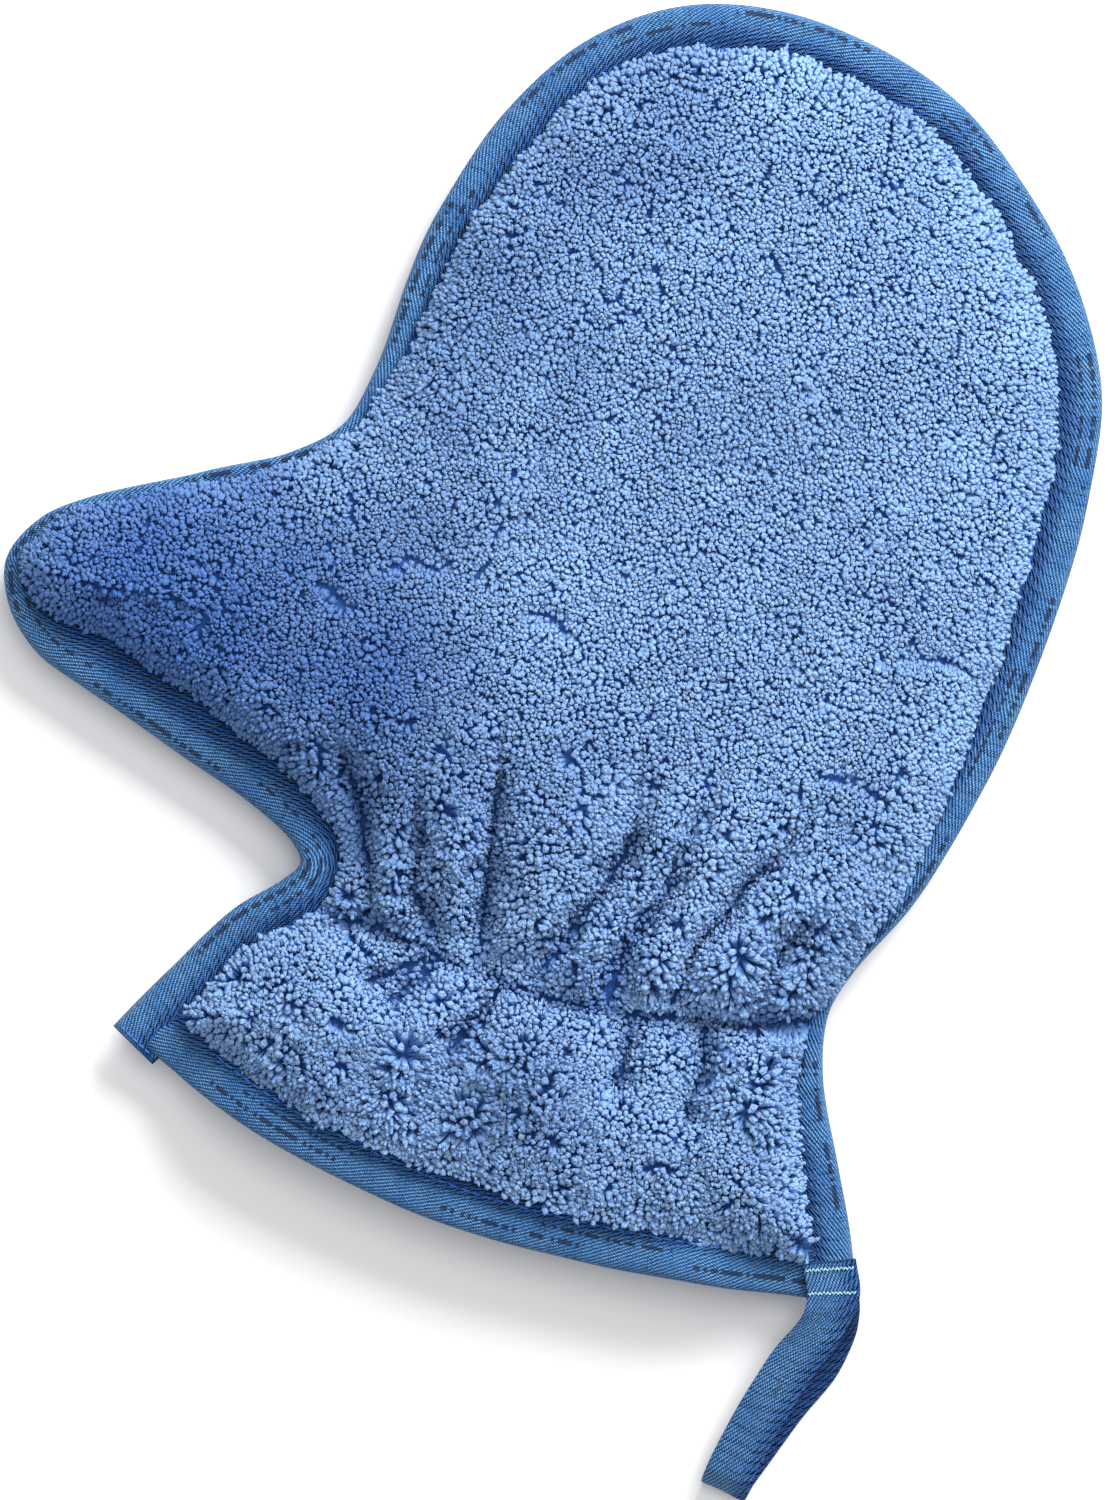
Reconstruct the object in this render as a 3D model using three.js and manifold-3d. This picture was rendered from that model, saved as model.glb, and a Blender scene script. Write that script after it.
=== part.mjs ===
// A microfibre wash mitt lying flat, palm side up, with its fingers towards +Y and its thumb towards -X.
// Two plush panels are bound together round the hand by one folded tape. The cuff is left open, and each
// of its edges has a folded tape of its own. An elastic inside each panel draws in the wrist, and a loop
// of the same tape hangs from the right-hand cuff corner. Millimetres, +Z up.

import * as THREE from "three";
import { mergeVertices } from "three/addons/utils/BufferGeometryUtils.js";
import Module from "manifold-3d";

const wasm = await Module();
wasm.setup();

// ---- Driving dimensions ----

const GAP = 0.35; // between pieces that touch on the real mitt
const GROUND = 0.9; // knitted ground of a panel, without its pile
const PILE_EDGE = 2.1; // pile left standing beside a tape
const PILE_FULL = 8.1; // pile of the front panel in its middle
const TAPE_WIDTH = 11; // a 25 mm tape folded in half over the edges
const EDGE_LOW = 5.8; // underside of the edge binding above the table
const EDGE_HIGH = 12.2; // top of the edge binding
const EDGE_SKIN = 0.7; // tape thickness of the edge binding
const CUFF_SKIN = 0.6; // tape thickness of the cuff bindings
const FRONT_GROUND_LOW = 10.25; // front panel's ground inside the edge binding
const BACK_GROUND_LOW = 6.85; // back panel's ground inside the edge binding
const FLANGE_INSET = 2; // how far a panel's cut edge stays inside the tape's fold
const POCKET_RISE = 7.2; // how far the front panel's inside rises over the hand pocket
const POCKET_DROP = 1.6; // how far the back panel's inside drops under it
const CUFF_DROP = 1.5; // further drop of the back panel at the cuff
const WRIST_Y = -50; // the line of both elastics
const WRIST_SQUEEZE = 1.9; // how far the elastic draws the front panel down
const WRIST_SPREAD = 10; // length over which the squeeze fades
const ELASTIC = { width: 8, thickness: 0.8, left: -27, right: 47 };
const THREAD = { width: 0.8, thickness: 0.5 };
const SEAM_INSET = 9; // seam of a tape, from its folded edge
const FOLD_ROUND = 0.24; // radius of a tape's folded edge, as a share of the tape's height
const LOOP = { width: 11.6, thickness: 1.0, tabLength: 8 };
const BARTACK = { inner: 1, outer: 4.8, margin: 1 }; // places on the loop's sewn ends, and room beside
const TACK = { from: 1.5, to: 9.5, at: 1.2 }; // corner stitch: across the tape, and along it
const RISE_INSET = 14; // the panels stay flat this far in from the edge binding's fold
const RISE_SPREAD = 14; // and swell over about this length
const MOUTH_RUN = [52, 96]; // the cuff opens between these distances below the origin
const MOUTH_INSET = 52; // and is fully open this far in from the sides
const FRONT_PILE_SPREAD = 6; // length over which the pile grows to its full height, beside a tape
const BACK_PILE_SPREAD = 5;
const GRID_CELL = 8.5; // size of the squares that the panels' surfaces are cut into
const STEPS = 2; // points of an outline between two of its given ones
const SLIVER = 0.03; // edges shorter than this are taken out after a cut
const FLOOR = -10; // the upright trimming blocks stand between these heights
const CEILING = 60;
const LEAD = { side: 40, cuff: 60, strip: 20, slot: 8, tape: 3 }; // straight runs past the ends of a path
const BEYOND_FINGERS = 220;

// Folded edge of the edge binding, clockwise from the left cuff corner round the thumb and the fingers.
const SIDE = [
  [-78, -84], [-69, -68], [-59, -51.5], [-50.5, -43], [-47.6, -38.5], [-50.5, -34.6],
  [-61, -29], [-80.5, -21.8], [-104, -13.5], [-116, -8.6], [-124, -1], [-127.6, 9.5],
  [-122.8, 20], [-113, 27.6], [-91.5, 38.8], [-73, 48.6], [-63.5, 57.5], [-59.8, 70.5],
  [-58, 92], [-55.5, 108], [-48, 130.4], [-35, 151.5], [-15.4, 165.8], [6, 170.3],
  [28, 168.3], [50, 160.5], [70, 145.4], [86, 127.3], [96.6, 106], [99.8, 81],
  [98.6, 48], [94.2, 18], [85.5, -12], [76.5, -30], [73.4, -40.5], [76, -55],
  [84.2, -72], [90.5, -85.5], [95, -97],
];

// Folded edge of both cuff bindings, from the right cuff corner to the left one.
const CUFF = [
  [86, -102], [60, -105], [35, -106.7], [10, -107], [-14, -104.2], [-38, -99], [-56, -92.8], [-70, -86.5],
];

// Middle line of the hang loop's strap: out along the upper leg, round the end, back along the lower leg.
const LOOP_OUT = [[1.6, 14.1], [8, 12.9], [15.5, 11.4], [25.5, 10], [34, 8.7], [39.3, 7.4]];
const LOOP_END = [42.2, 4.2];
const LOOP_BACK = [[39.3, 1.1], [34, 0.85], [25.5, 0.85], [17.5, 0.9], [10.5, 3.2], [6, 8.6], [1.6, 13.0]];
const LOOP_LEAN = [0, -3.6, -10.6, -18.4, -24.2, -27.4]; // sideways run of the upper leg
const LOOP_END_LEAN = -28.4;
const LOOP_LEAN_BACK = [-26.2, -21.4, -13.6, -5.4, -1.0, 0.2, 0]; // and of the lower leg
const LOOP_TURN = 0.58; // radians between the strap's width at the fold and at the sewn end
const LOOP_TURN_RUN = [1.6, 14]; // distances out between which the strap swings sideways
const LOOP_STATIONS = 52; // sections along the strap

// ---- Outline ----

const curve = (points, steps) =>
  new THREE.CatmullRomCurve3(points.map(([x, y]) => new THREE.Vector3(x, y, 0)), false, "centripetal")
    .getPoints((points.length - 1) * steps)
    .map((p) => new THREE.Vector2(p.x, p.y));

const sidePath = curve(SIDE, STEPS);
const cuffPath = curve(CUFF, STEPS);

// Unit direction of a path at each of its points.
function directions(path) {
  return path.map((_, i) => {
    const before = path[Math.max(0, i - 1)];
    const after = path[Math.min(path.length - 1, i + 1)];
    return after.clone().sub(before).normalize();
  });
}

// The path moved into the mitt, which lies to the right of every path here.
function inset(path, distance) {
  const along = directions(path);
  return path.map((p, i) => new THREE.Vector2(p.x + along[i].y * distance, p.y - along[i].x * distance));
}

// The path with a straight lead at each end.
function extended(path, lead) {
  const along = directions(path);
  const last = path.length - 1;
  return [
    path[0].clone().addScaledVector(along[0], -lead),
    ...path,
    path[last].clone().addScaledVector(along[last], lead),
  ];
}

function distanceToPath(path, x, y) {
  const p = new THREE.Vector3(x, y, 0);
  const foot = new THREE.Vector3();
  let nearest = Infinity;
  for (let i = 1; i < path.length; i++) {
    const line = new THREE.Line3(
      new THREE.Vector3(path[i - 1].x, path[i - 1].y, 0),
      new THREE.Vector3(path[i].x, path[i].y, 0),
    );
    nearest = Math.min(nearest, line.closestPointToPoint(p, true, foot).distanceTo(p));
  }
  return nearest;
}

// ---- Solids ----

// A manifold-3d solid from a closed three.js geometry.
function solidOf(geometry) {
  const bare = geometry.clone();
  bare.deleteAttribute("normal");
  bare.deleteAttribute("uv");
  const merged = mergeVertices(bare, 1e-4);
  return new wasm.Manifold(
    new wasm.Mesh({
      numProp: 3,
      vertProperties: new Float32Array(merged.attributes.position.array),
      triVerts: new Uint32Array(merged.index.array),
    }),
  );
}

// A joined or cut solid as a geometry, without the slivers that the cuts leave.
function geometryOf(solid) {
  const mesh = solid.simplify(SLIVER).getMesh();
  const geometry = new THREE.BufferGeometry();
  geometry.setAttribute("position", new THREE.BufferAttribute(new Float32Array(mesh.vertProperties), 3));
  geometry.setIndex(new THREE.BufferAttribute(new Uint32Array(mesh.triVerts), 1));
  geometry.computeVertexNormals();
  return geometry;
}

// An upright block over a flat outline.
function block(outline) {
  const geometry = new THREE.ExtrudeGeometry(new THREE.Shape(outline), {
    depth: CEILING - FLOOR,
    bevelEnabled: false,
  });
  return solidOf(geometry.translate(0, 0, FLOOR));
}

// Everything inside the mitt's outline, moved in from the edge binding's fold and from the cuff's.
function insideBlock(fromSide, fromCuff) {
  const sides = extended(inset(sidePath, fromSide), LEAD.side);
  const cuff = extended(inset(cuffPath, fromCuff), LEAD.cuff);
  const top = [cuff[cuff.length - 1], cuff[0]].map(({ x }) => new THREE.Vector2(x, BEYOND_FINGERS));
  const aboveCuff = [...cuff, ...top];
  return block(sides).intersect(block(aboveCuff));
}

// An upright block over the strip between two insets of a path.
function strip(path, from, to, lead) {
  const outer = extended(inset(path, from), lead);
  const inner = extended(inset(path, to), lead);
  return block([...outer, ...inner.reverse()]);
}

const box = new THREE.Box2().setFromPoints([...sidePath, ...cuffPath]).expandByScalar(3);
const size = box.getSize(new THREE.Vector2());
const middle = box.getCenter(new THREE.Vector2());
const cells = new THREE.Vector2(Math.ceil(size.x / GRID_CELL), Math.ceil(size.y / GRID_CELL));

// A sheet between two heights, each a function of x and y, trimmed by an upright block.
function sheet(low, high, trim) {
  const plane = new THREE.PlaneGeometry(size.x, size.y, cells.x, cells.y).translate(middle.x, middle.y, 0);
  const at = plane.attributes.position;
  const raised = (height) =>
    Array.from({ length: at.count }, (_, i) => {
      const [x, y] = [at.getX(i), at.getY(i)];
      return new THREE.Vector3(x, y, height(x, y));
    });
  const faces = [...plane.index.array];
  const index = [...faces, ...faces.map((i) => i + at.count).reverse()];
  const rim = gridRim();
  rim.forEach((here, i) => {
    const next = rim[(i + 1) % rim.length];
    index.push(here, next, here + at.count, next, next + at.count, here + at.count);
  });
  const geometry = new THREE.BufferGeometry().setFromPoints([...raised(high), ...raised(low)]);
  geometry.setIndex(index);
  return solidOf(geometry).intersect(trim);
}

// Vertices round the rim of the panels' grid, clockwise from above.
function gridRim() {
  const row = cells.x + 1;
  const top = Array.from({ length: cells.x }, (_, i) => i);
  const right = Array.from({ length: cells.y }, (_, i) => i * row + cells.x);
  const bottom = Array.from({ length: cells.x }, (_, i) => row * cells.y + cells.x - i);
  const left = Array.from({ length: cells.y }, (_, i) => row * (cells.y - i));
  return [...top, ...right, ...bottom, ...left];
}

// A solid with one ring of points at each station, closed at both ends by the section's own triangles.
function loft(rings, section) {
  const count = section.length;
  const index = [];
  for (let i = 0; i + 1 < rings.length; i++)
    for (let j = 0; j < count; j++) {
      const a = i * count + j;
      const b = i * count + ((j + 1) % count);
      index.push(a, a + count, b, b, a + count, b + count);
    }
  const end = (rings.length - 1) * count;
  for (const [a, b, c] of THREE.ShapeUtils.triangulateShape(section, [])) {
    index.push(a, b, c);
    index.push(end + a, end + c, end + b);
  }
  const geometry = new THREE.BufferGeometry().setFromPoints(rings.flat());
  geometry.setIndex(index);
  return geometry;
}

// A section swept along a flat path: its points are (distance in from the fold, height over the table).
function sweep(path, section) {
  const along = directions(path);
  const rings = path.map((p, i) =>
    section.map(({ x: inward, y: z }) =>
      new THREE.Vector3(p.x + along[i].y * inward, p.y - along[i].x * inward, z),
    ),
  );
  return loft(rings, section);
}

const points = (list) => list.map(([x, y]) => new THREE.Vector2(x, y));

// A folded tape's section: a rounded fold on the outside and a slot for what it binds.
function tapeSection(low, high, skin) {
  const round = (high - low) * FOLD_ROUND;
  return points([
    [round * 0.35, low + round * 0.9], [round * 1.4, low], [TAPE_WIDTH - 0.8, low], [TAPE_WIDTH, low + skin],
    [FLANGE_INSET - 0.5, low + skin], [FLANGE_INSET - 0.5, high - skin], [TAPE_WIDTH, high - skin],
    [TAPE_WIDTH - 0.8, high], [round * 1.4, high], [round * 0.35, high - round * 0.9],
    [0, high - round * 1.8], [0, low + round * 1.8],
  ]);
}

const bar = (from, width, low, height) =>
  points([[from, low], [from + width, low], [from + width, low + height], [from, low + height]]);

// ---- Heights of the panels ----

const { smoothstep } = THREE.MathUtils;

// Shares of the full rise over the pocket, of the cuff's opening and of the wrist's squeeze.
function shape(x, y) {
  const fromSide = distanceToPath(sidePath, x, y);
  const fromCuff = distanceToPath(cuffPath, x, y);
  const pocket = 1 - Math.exp(-((Math.max(0, fromSide - RISE_INSET) / RISE_SPREAD) ** 2));
  const cuff = smoothstep(-y, ...MOUTH_RUN) * smoothstep(fromSide, RISE_INSET, MOUTH_INSET);
  const wrist = Math.exp(-(((y - WRIST_Y) / WRIST_SPREAD) ** 2)) * pocket;
  const inPile = Math.max(0, Math.min(fromSide, fromCuff) - TAPE_WIDTH);
  return { pocket, cuff, wrist, inPile };
}

function frontInside(x, y) {
  const { pocket, cuff, wrist } = shape(x, y);
  return FRONT_GROUND_LOW + POCKET_RISE * (1 - (1 - pocket) * (1 - cuff)) - WRIST_SQUEEZE * wrist;
}

function frontOutside(x, y) {
  const { wrist, inPile } = shape(x, y);
  const pile = PILE_EDGE + (PILE_FULL - PILE_EDGE) * (1 - Math.exp(-inPile / FRONT_PILE_SPREAD));
  return frontInside(x, y) + GROUND + pile - wrist;
}

function backInside(x, y) {
  const { pocket, cuff } = shape(x, y);
  return BACK_GROUND_LOW + GROUND - POCKET_DROP * pocket - CUFF_DROP * cuff;
}

// The back panel's pile is pressed flat by the mitt's own weight wherever it meets the table.
function backOutside(x, y) {
  const { inPile } = shape(x, y);
  const pile = PILE_EDGE + (PILE_FULL - PILE_EDGE) * (1 - Math.exp(-inPile / BACK_PILE_SPREAD));
  return Math.max(0, backInside(x, y) - GROUND - pile);
}

// ---- Sub-parts ----

const clearOfTapes = TAPE_WIDTH + GAP;

function frontPanel() {
  const ground = sheet(
    frontInside,
    (x, y) => frontInside(x, y) + GROUND,
    insideBlock(FLANGE_INSET, FLANGE_INSET),
  );
  const middle = (x, y) => frontInside(x, y) + GROUND / 2;
  const pile = sheet(middle, frontOutside, insideBlock(clearOfTapes, clearOfTapes));
  return geometryOf(ground.add(pile));
}

function backPanel() {
  const ground = sheet(
    (x, y) => backInside(x, y) - GROUND,
    backInside,
    insideBlock(FLANGE_INSET, FLANGE_INSET),
  );
  const middle = (x, y) => backInside(x, y) - GROUND / 2;
  const pile = sheet(backOutside, middle, insideBlock(clearOfTapes, clearOfTapes));
  return geometryOf(ground.add(pile));
}

const edgeBinding = () => sweep(sidePath, tapeSection(EDGE_LOW, EDGE_HIGH, EDGE_SKIN));

// The cuff's tapes stop short of the edge binding.
const edgeStrip = strip(sidePath, -1, clearOfTapes, LEAD.strip);

// A strip along the cuff, between two heights over a panel's ground.
function cuffStrip(base, from, to, low, high, lead = LEAD.tape) {
  return sheet((x, y) => base(x, y) + low, (x, y) => base(x, y) + high, strip(cuffPath, from, to, lead));
}

const frontGround = (x, y) => frontInside(x, y) + GROUND / 2;
const backGround = (x, y) => backInside(x, y) - GROUND / 2;
const SLOT_HALF = GROUND / 2 + GAP;
const CUFF_HALF = SLOT_HALF + CUFF_SKIN;

// A tape folded over the panel's cut edge.
function cuffBinding(base) {
  const folded = cuffStrip(base, 0, TAPE_WIDTH, -CUFF_HALF, CUFF_HALF);
  const slot = cuffStrip(base, FLANGE_INSET - GAP, TAPE_WIDTH + 1, -SLOT_HALF, SLOT_HALF, LEAD.slot);
  return geometryOf(folded.subtract(edgeStrip).subtract(slot));
}

// The seam that holds it, on the tape's outer face.
function cuffThread(base, side) {
  const low = side > 0 ? CUFF_HALF + GAP : -CUFF_HALF - GAP - THREAD.thickness;
  const high = low + THREAD.thickness;
  const thread = cuffStrip(base, SEAM_INSET, SEAM_INSET + THREAD.width, low, high);
  return geometryOf(thread.subtract(edgeStrip));
}

// A band across the wrist, under the front panel or over the back one, inside the hand pocket.
function wristBand(surface, side, offset, width, thickness) {
  const trim = block([
    new THREE.Vector2(ELASTIC.left, WRIST_Y - width / 2),
    new THREE.Vector2(ELASTIC.right, WRIST_Y - width / 2),
    new THREE.Vector2(ELASTIC.right, WRIST_Y + width / 2),
    new THREE.Vector2(ELASTIC.left, WRIST_Y + width / 2),
  ]);
  const near = (x, y) => surface(x, y) + side * offset;
  const far = (x, y) => surface(x, y) + side * (offset + thickness);
  return geometryOf(side > 0 ? sheet(near, far, trim) : sheet(far, near, trim));
}

const elasticThread = (surface, side) =>
  wristBand(surface, side, GAP * 2 + ELASTIC.thickness + 0.1, 1, THREAD.thickness);

// Both threads of the edge seam stop short of the two cuff corners, which have stitches of their own.
const edgeThread = (low) =>
  sweep(sidePath.slice(1, -2), bar(SEAM_INSET, THREAD.width, low, THREAD.thickness));

// ---- Hang loop ----

const sideAlong = directions(sidePath);
const loopOut = sideAlong[sideAlong.length - 1]; // the strap leaves along the binding's end
const loopAcross = new THREE.Vector2(-loopOut.y, loopOut.x); // and its width runs out of the mitt
const cornerFold = sidePath[sidePath.length - 1];
const loopRoot = cornerFold.clone().addScaledVector(loopAcross, -TAPE_WIDTH / 2);

// A point from its distance out along the strap, across it and above the table.
function loopPoint(out, across, z) {
  const p = loopRoot.clone().addScaledVector(loopOut, out).addScaledVector(loopAcross, across);
  return new THREE.Vector3(p.x, p.y, z);
}

function hangLoop() {
  const upper = LOOP_OUT.map(([out, z], i) => loopPoint(out, LOOP_LEAN[i], z));
  const end = loopPoint(LOOP_END[0], LOOP_END_LEAN, LOOP_END[1]);
  const lower = LOOP_BACK.map(([out, z], i) => loopPoint(out, LOOP_LEAN_BACK[i], z));
  const path = new THREE.CatmullRomCurve3([...upper, end, ...lower], false, "centripetal");
  const stations = path.getPoints(LOOP_STATIONS);
  const section = bar(-LOOP.width / 2, LOOP.width, -LOOP.thickness / 2, LOOP.thickness);
  const rings = stations.map((p, i) => {
    const out = new THREE.Vector2(p.x, p.y).sub(loopRoot).dot(loopOut);
    const turn = -LOOP_TURN * smoothstep(out, ...LOOP_TURN_RUN);
    const width = loopAcross.clone().rotateAround(new THREE.Vector2(), turn);
    const across = new THREE.Vector3(width.x, width.y, 0);
    const ahead = stations[Math.min(i + 1, stations.length - 1)].clone();
    const run = ahead.sub(stations[Math.max(i - 1, 0)]);
    run.addScaledVector(across, -run.dot(across)).normalize();
    const up = new THREE.Vector3().crossVectors(across, run);
    return section.map(({ x, y }) => p.clone().addScaledVector(across, x).addScaledVector(up, y));
  });
  return loft(rings, section);
}

// A flat-lying box set on the binding's end, from its place along the strap.
function onCorner(from, to, width, low, high) {
  const corners = [
    loopPoint(from, -width / 2, 0), loopPoint(to, -width / 2, 0),
    loopPoint(to, width / 2, 0), loopPoint(from, width / 2, 0),
  ].map((p) => new THREE.Vector2(p.x, p.y));
  return new THREE.ExtrudeGeometry(new THREE.Shape(corners), {
    depth: high - low,
    bevelEnabled: false,
  }).translate(0, 0, low);
}

const TAB_LOW = EDGE_HIGH + GAP;
const TAB_HIGH = TAB_LOW + 2 * LOOP.thickness + 0.1;
const TAB_END = 1.2; // where the sewn ends stop and the free strap begins

const loopTab = () => onCorner(TAB_END - LOOP.tabLength, TAB_END, LOOP.width, TAB_LOW, TAB_HIGH);

const TACK_LOW = TAB_HIGH + GAP;

const bartack = (at) =>
  onCorner(at, at + THREAD.width, LOOP.width - BARTACK.margin, TACK_LOW, TACK_LOW + THREAD.thickness);

// The stitch that closes the edge binding's folded end at the left cuff corner.
function cornerTack() {
  const along = directions(sidePath)[0];
  const inward = new THREE.Vector2(along.y, -along.x);
  const place = (u, v) => sidePath[0].clone().addScaledVector(inward, u).addScaledVector(along, v);
  const end = TACK.at + THREAD.width;
  const corners = [
    place(TACK.from, TACK.at), place(TACK.to, TACK.at), place(TACK.to, end), place(TACK.from, end),
  ];
  return new THREE.ExtrudeGeometry(new THREE.Shape(corners), {
    depth: THREAD.thickness,
    bevelEnabled: false,
  }).translate(0, 0, EDGE_HIGH + GAP);
}

// ---- Assembly ----

const plush = { color: "#7ba7e0", roughness: 0.95, metalness: 0 };
const tape = { color: "#4a90d4", roughness: 0.75, metalness: 0 };
const elasticWeb = { color: "#dfe4ea", roughness: 0.8, metalness: 0 };
const blueThread = { color: "#2f6fc0", roughness: 0.6, metalness: 0 };
const paleThread = { color: "#b9d3ee", roughness: 0.6, metalness: 0 };

const mitt = new THREE.Group();

function add(name, geometry, finish) {
  const mesh = new THREE.Mesh(geometry, new THREE.MeshStandardMaterial(finish));
  mesh.name = name;
  mitt.add(mesh);
}

add("front_panel", frontPanel(), plush);
add("back_panel", backPanel(), plush);
add("edge_binding", edgeBinding(), tape);
add("front_cuff_binding", cuffBinding(frontGround), tape);
add("back_cuff_binding", cuffBinding(backGround), tape);
add("front_wrist_elastic", wristBand(frontInside, -1, GAP, ELASTIC.width, ELASTIC.thickness), elasticWeb);
add("back_wrist_elastic", wristBand(backInside, 1, GAP, ELASTIC.width, ELASTIC.thickness), elasticWeb);
add("front_elastic_thread", elasticThread(frontInside, -1), blueThread);
add("back_elastic_thread", elasticThread(backInside, 1), blueThread);
add("edge_seam_needle_thread", edgeThread(EDGE_HIGH + GAP), blueThread);
add("edge_seam_bobbin_thread", edgeThread(EDGE_LOW - GAP - THREAD.thickness), blueThread);
add("front_cuff_seam_thread", cuffThread(frontGround, 1), blueThread);
add("back_cuff_seam_thread", cuffThread(backGround, -1), blueThread);
add("corner_tack_thread", cornerTack(), blueThread);
add("hang_loop_tab", loopTab(), tape);
add("hang_loop", hangLoop(), tape);
add("loop_bartack_inner", bartack(TAB_END - LOOP.tabLength + BARTACK.inner), paleThread);
add("loop_bartack_outer", bartack(TAB_END - LOOP.tabLength + BARTACK.outer), paleThread);

// The origin is under the middle of the mitt, on the table.
mitt.updateMatrixWorld(true);
const bounds = new THREE.Box3().setFromObject(mitt);
const centre = bounds.getCenter(new THREE.Vector3());
mitt.position.set(-centre.x, -centre.y, -bounds.min.z);

export default mitt;
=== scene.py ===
import math

import bpy
import numpy as np
from mathutils import Matrix, Vector


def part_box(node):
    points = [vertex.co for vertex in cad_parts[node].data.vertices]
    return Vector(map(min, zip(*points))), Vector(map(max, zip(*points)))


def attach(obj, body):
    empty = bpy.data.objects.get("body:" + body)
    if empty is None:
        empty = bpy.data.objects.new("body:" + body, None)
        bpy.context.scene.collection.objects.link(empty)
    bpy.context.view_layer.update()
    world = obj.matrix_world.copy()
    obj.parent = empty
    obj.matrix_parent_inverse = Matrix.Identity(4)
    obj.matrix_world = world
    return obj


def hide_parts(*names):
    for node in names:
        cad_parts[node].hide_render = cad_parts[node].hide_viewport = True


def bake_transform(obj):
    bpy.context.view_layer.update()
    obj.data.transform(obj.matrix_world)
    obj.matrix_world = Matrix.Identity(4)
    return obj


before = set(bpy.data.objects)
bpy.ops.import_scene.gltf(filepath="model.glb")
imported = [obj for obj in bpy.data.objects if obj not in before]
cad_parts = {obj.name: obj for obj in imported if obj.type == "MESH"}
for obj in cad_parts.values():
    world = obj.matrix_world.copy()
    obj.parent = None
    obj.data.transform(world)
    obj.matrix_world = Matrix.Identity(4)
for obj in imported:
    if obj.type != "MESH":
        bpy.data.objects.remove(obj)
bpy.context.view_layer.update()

MM = 0.001

# ---- The mitt's outline, as in part.mjs: millimetres, in the design's own frame, clockwise. ----

SIDE = [
    (-78, -84), (-69, -68), (-59, -51.5), (-50.5, -43), (-47.6, -38.5), (-50.5, -34.6),
    (-61, -29), (-80.5, -21.8), (-104, -13.5), (-116, -8.6), (-124, -1), (-127.6, 9.5),
    (-122.8, 20), (-113, 27.6), (-91.5, 38.8), (-73, 48.6), (-63.5, 57.5), (-59.8, 70.5),
    (-58, 92), (-55.5, 108), (-48, 130.4), (-35, 151.5), (-15.4, 165.8), (6, 170.3),
    (28, 168.3), (50, 160.5), (70, 145.4), (86, 127.3), (96.6, 106), (99.8, 81),
    (98.6, 48), (94.2, 18), (85.5, -12), (76.5, -30), (73.4, -40.5), (76, -55),
    (84.2, -72), (90.5, -85.5), (95, -97),
]
# Width of the edge tape that shows on the front at each of those points. The rest rolls under.
TAPE_SHOWS = [
    10, 10, 9.5, 10, 10, 11,
    12.5, 13, 12.5, 10, 6.5, 4.5,
    3.5, 3, 3, 3, 3.5, 5,
    7, 8.5, 10, 10.5, 10.5, 10.5,
    10.5, 10.5, 10.5, 10.5, 10.5, 10.5,
    10, 8, 4.5, 2.6, 2.6, 7,
    9.5, 10, 10,
]
CUFF = [
    (86, -102), (60, -105), (35, -106.7), (10, -107), (-14, -104.2), (-38, -99), (-56, -92.8),
    (-70, -86.5),
]
HEM_WIDTH = 10.5

# The loop's strap, as in part.mjs: distance out from the corner, height, and sideways place.
LOOP_PATH = [
    (-6.5, 13.9, 0), (1.6, 13.9, 0), (8, 12.9, -3.6), (15.5, 11.4, -10.6), (25.5, 10, -18.4),
    (34, 8.7, -24.2), (39.3, 7.4, -27.4), (42.0, 4.3, -28.4), (39.3, 1.5, -26.2), (34, 1.2, -21.4),
    (25.5, 1.1, -13.6), (17.5, 1.2, -5.4), (10.5, 3.2, -1.0), (6, 8.0, 0.2), (1.6, 12.2, 0),
    (-6.5, 12.9, 0),
]
LOOP_TURN = 0.58
LOOP_TURN_RUN = (1.6, 14.0)
INNER_FROM = 7  # first corner of the strap's section on the loop's inside
# Where each tape's print starts, in millimetres along.
CUFF_PRINT = 900
LOOP_PRINT = 1700

# Panels, as in part.mjs.
GROUND = 0.9  # knitted ground, without its pile
EDGE_LOW = 5.8
EDGE_HIGH = 12.2
FRONT_LOW = 10.25
BACK_TOP = 7.75
POCKET_RISE = 7.2
POCKET_DROP = 1.6
CUFF_DROP = 1.5
WRIST_Y = -50
WRIST_SQUEEZE = 1.9
WRIST_SPREAD = 10
RISE_INSET = 14
RISE_SPREAD = 14
TAPE_WIDTH = 11
WRIST = [(-48, -45), (-30, -48), (-13, -51), (5, -52), (34, -52), (60, -46), (72, -42)]

# ---- Small numeric tools ----


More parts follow.
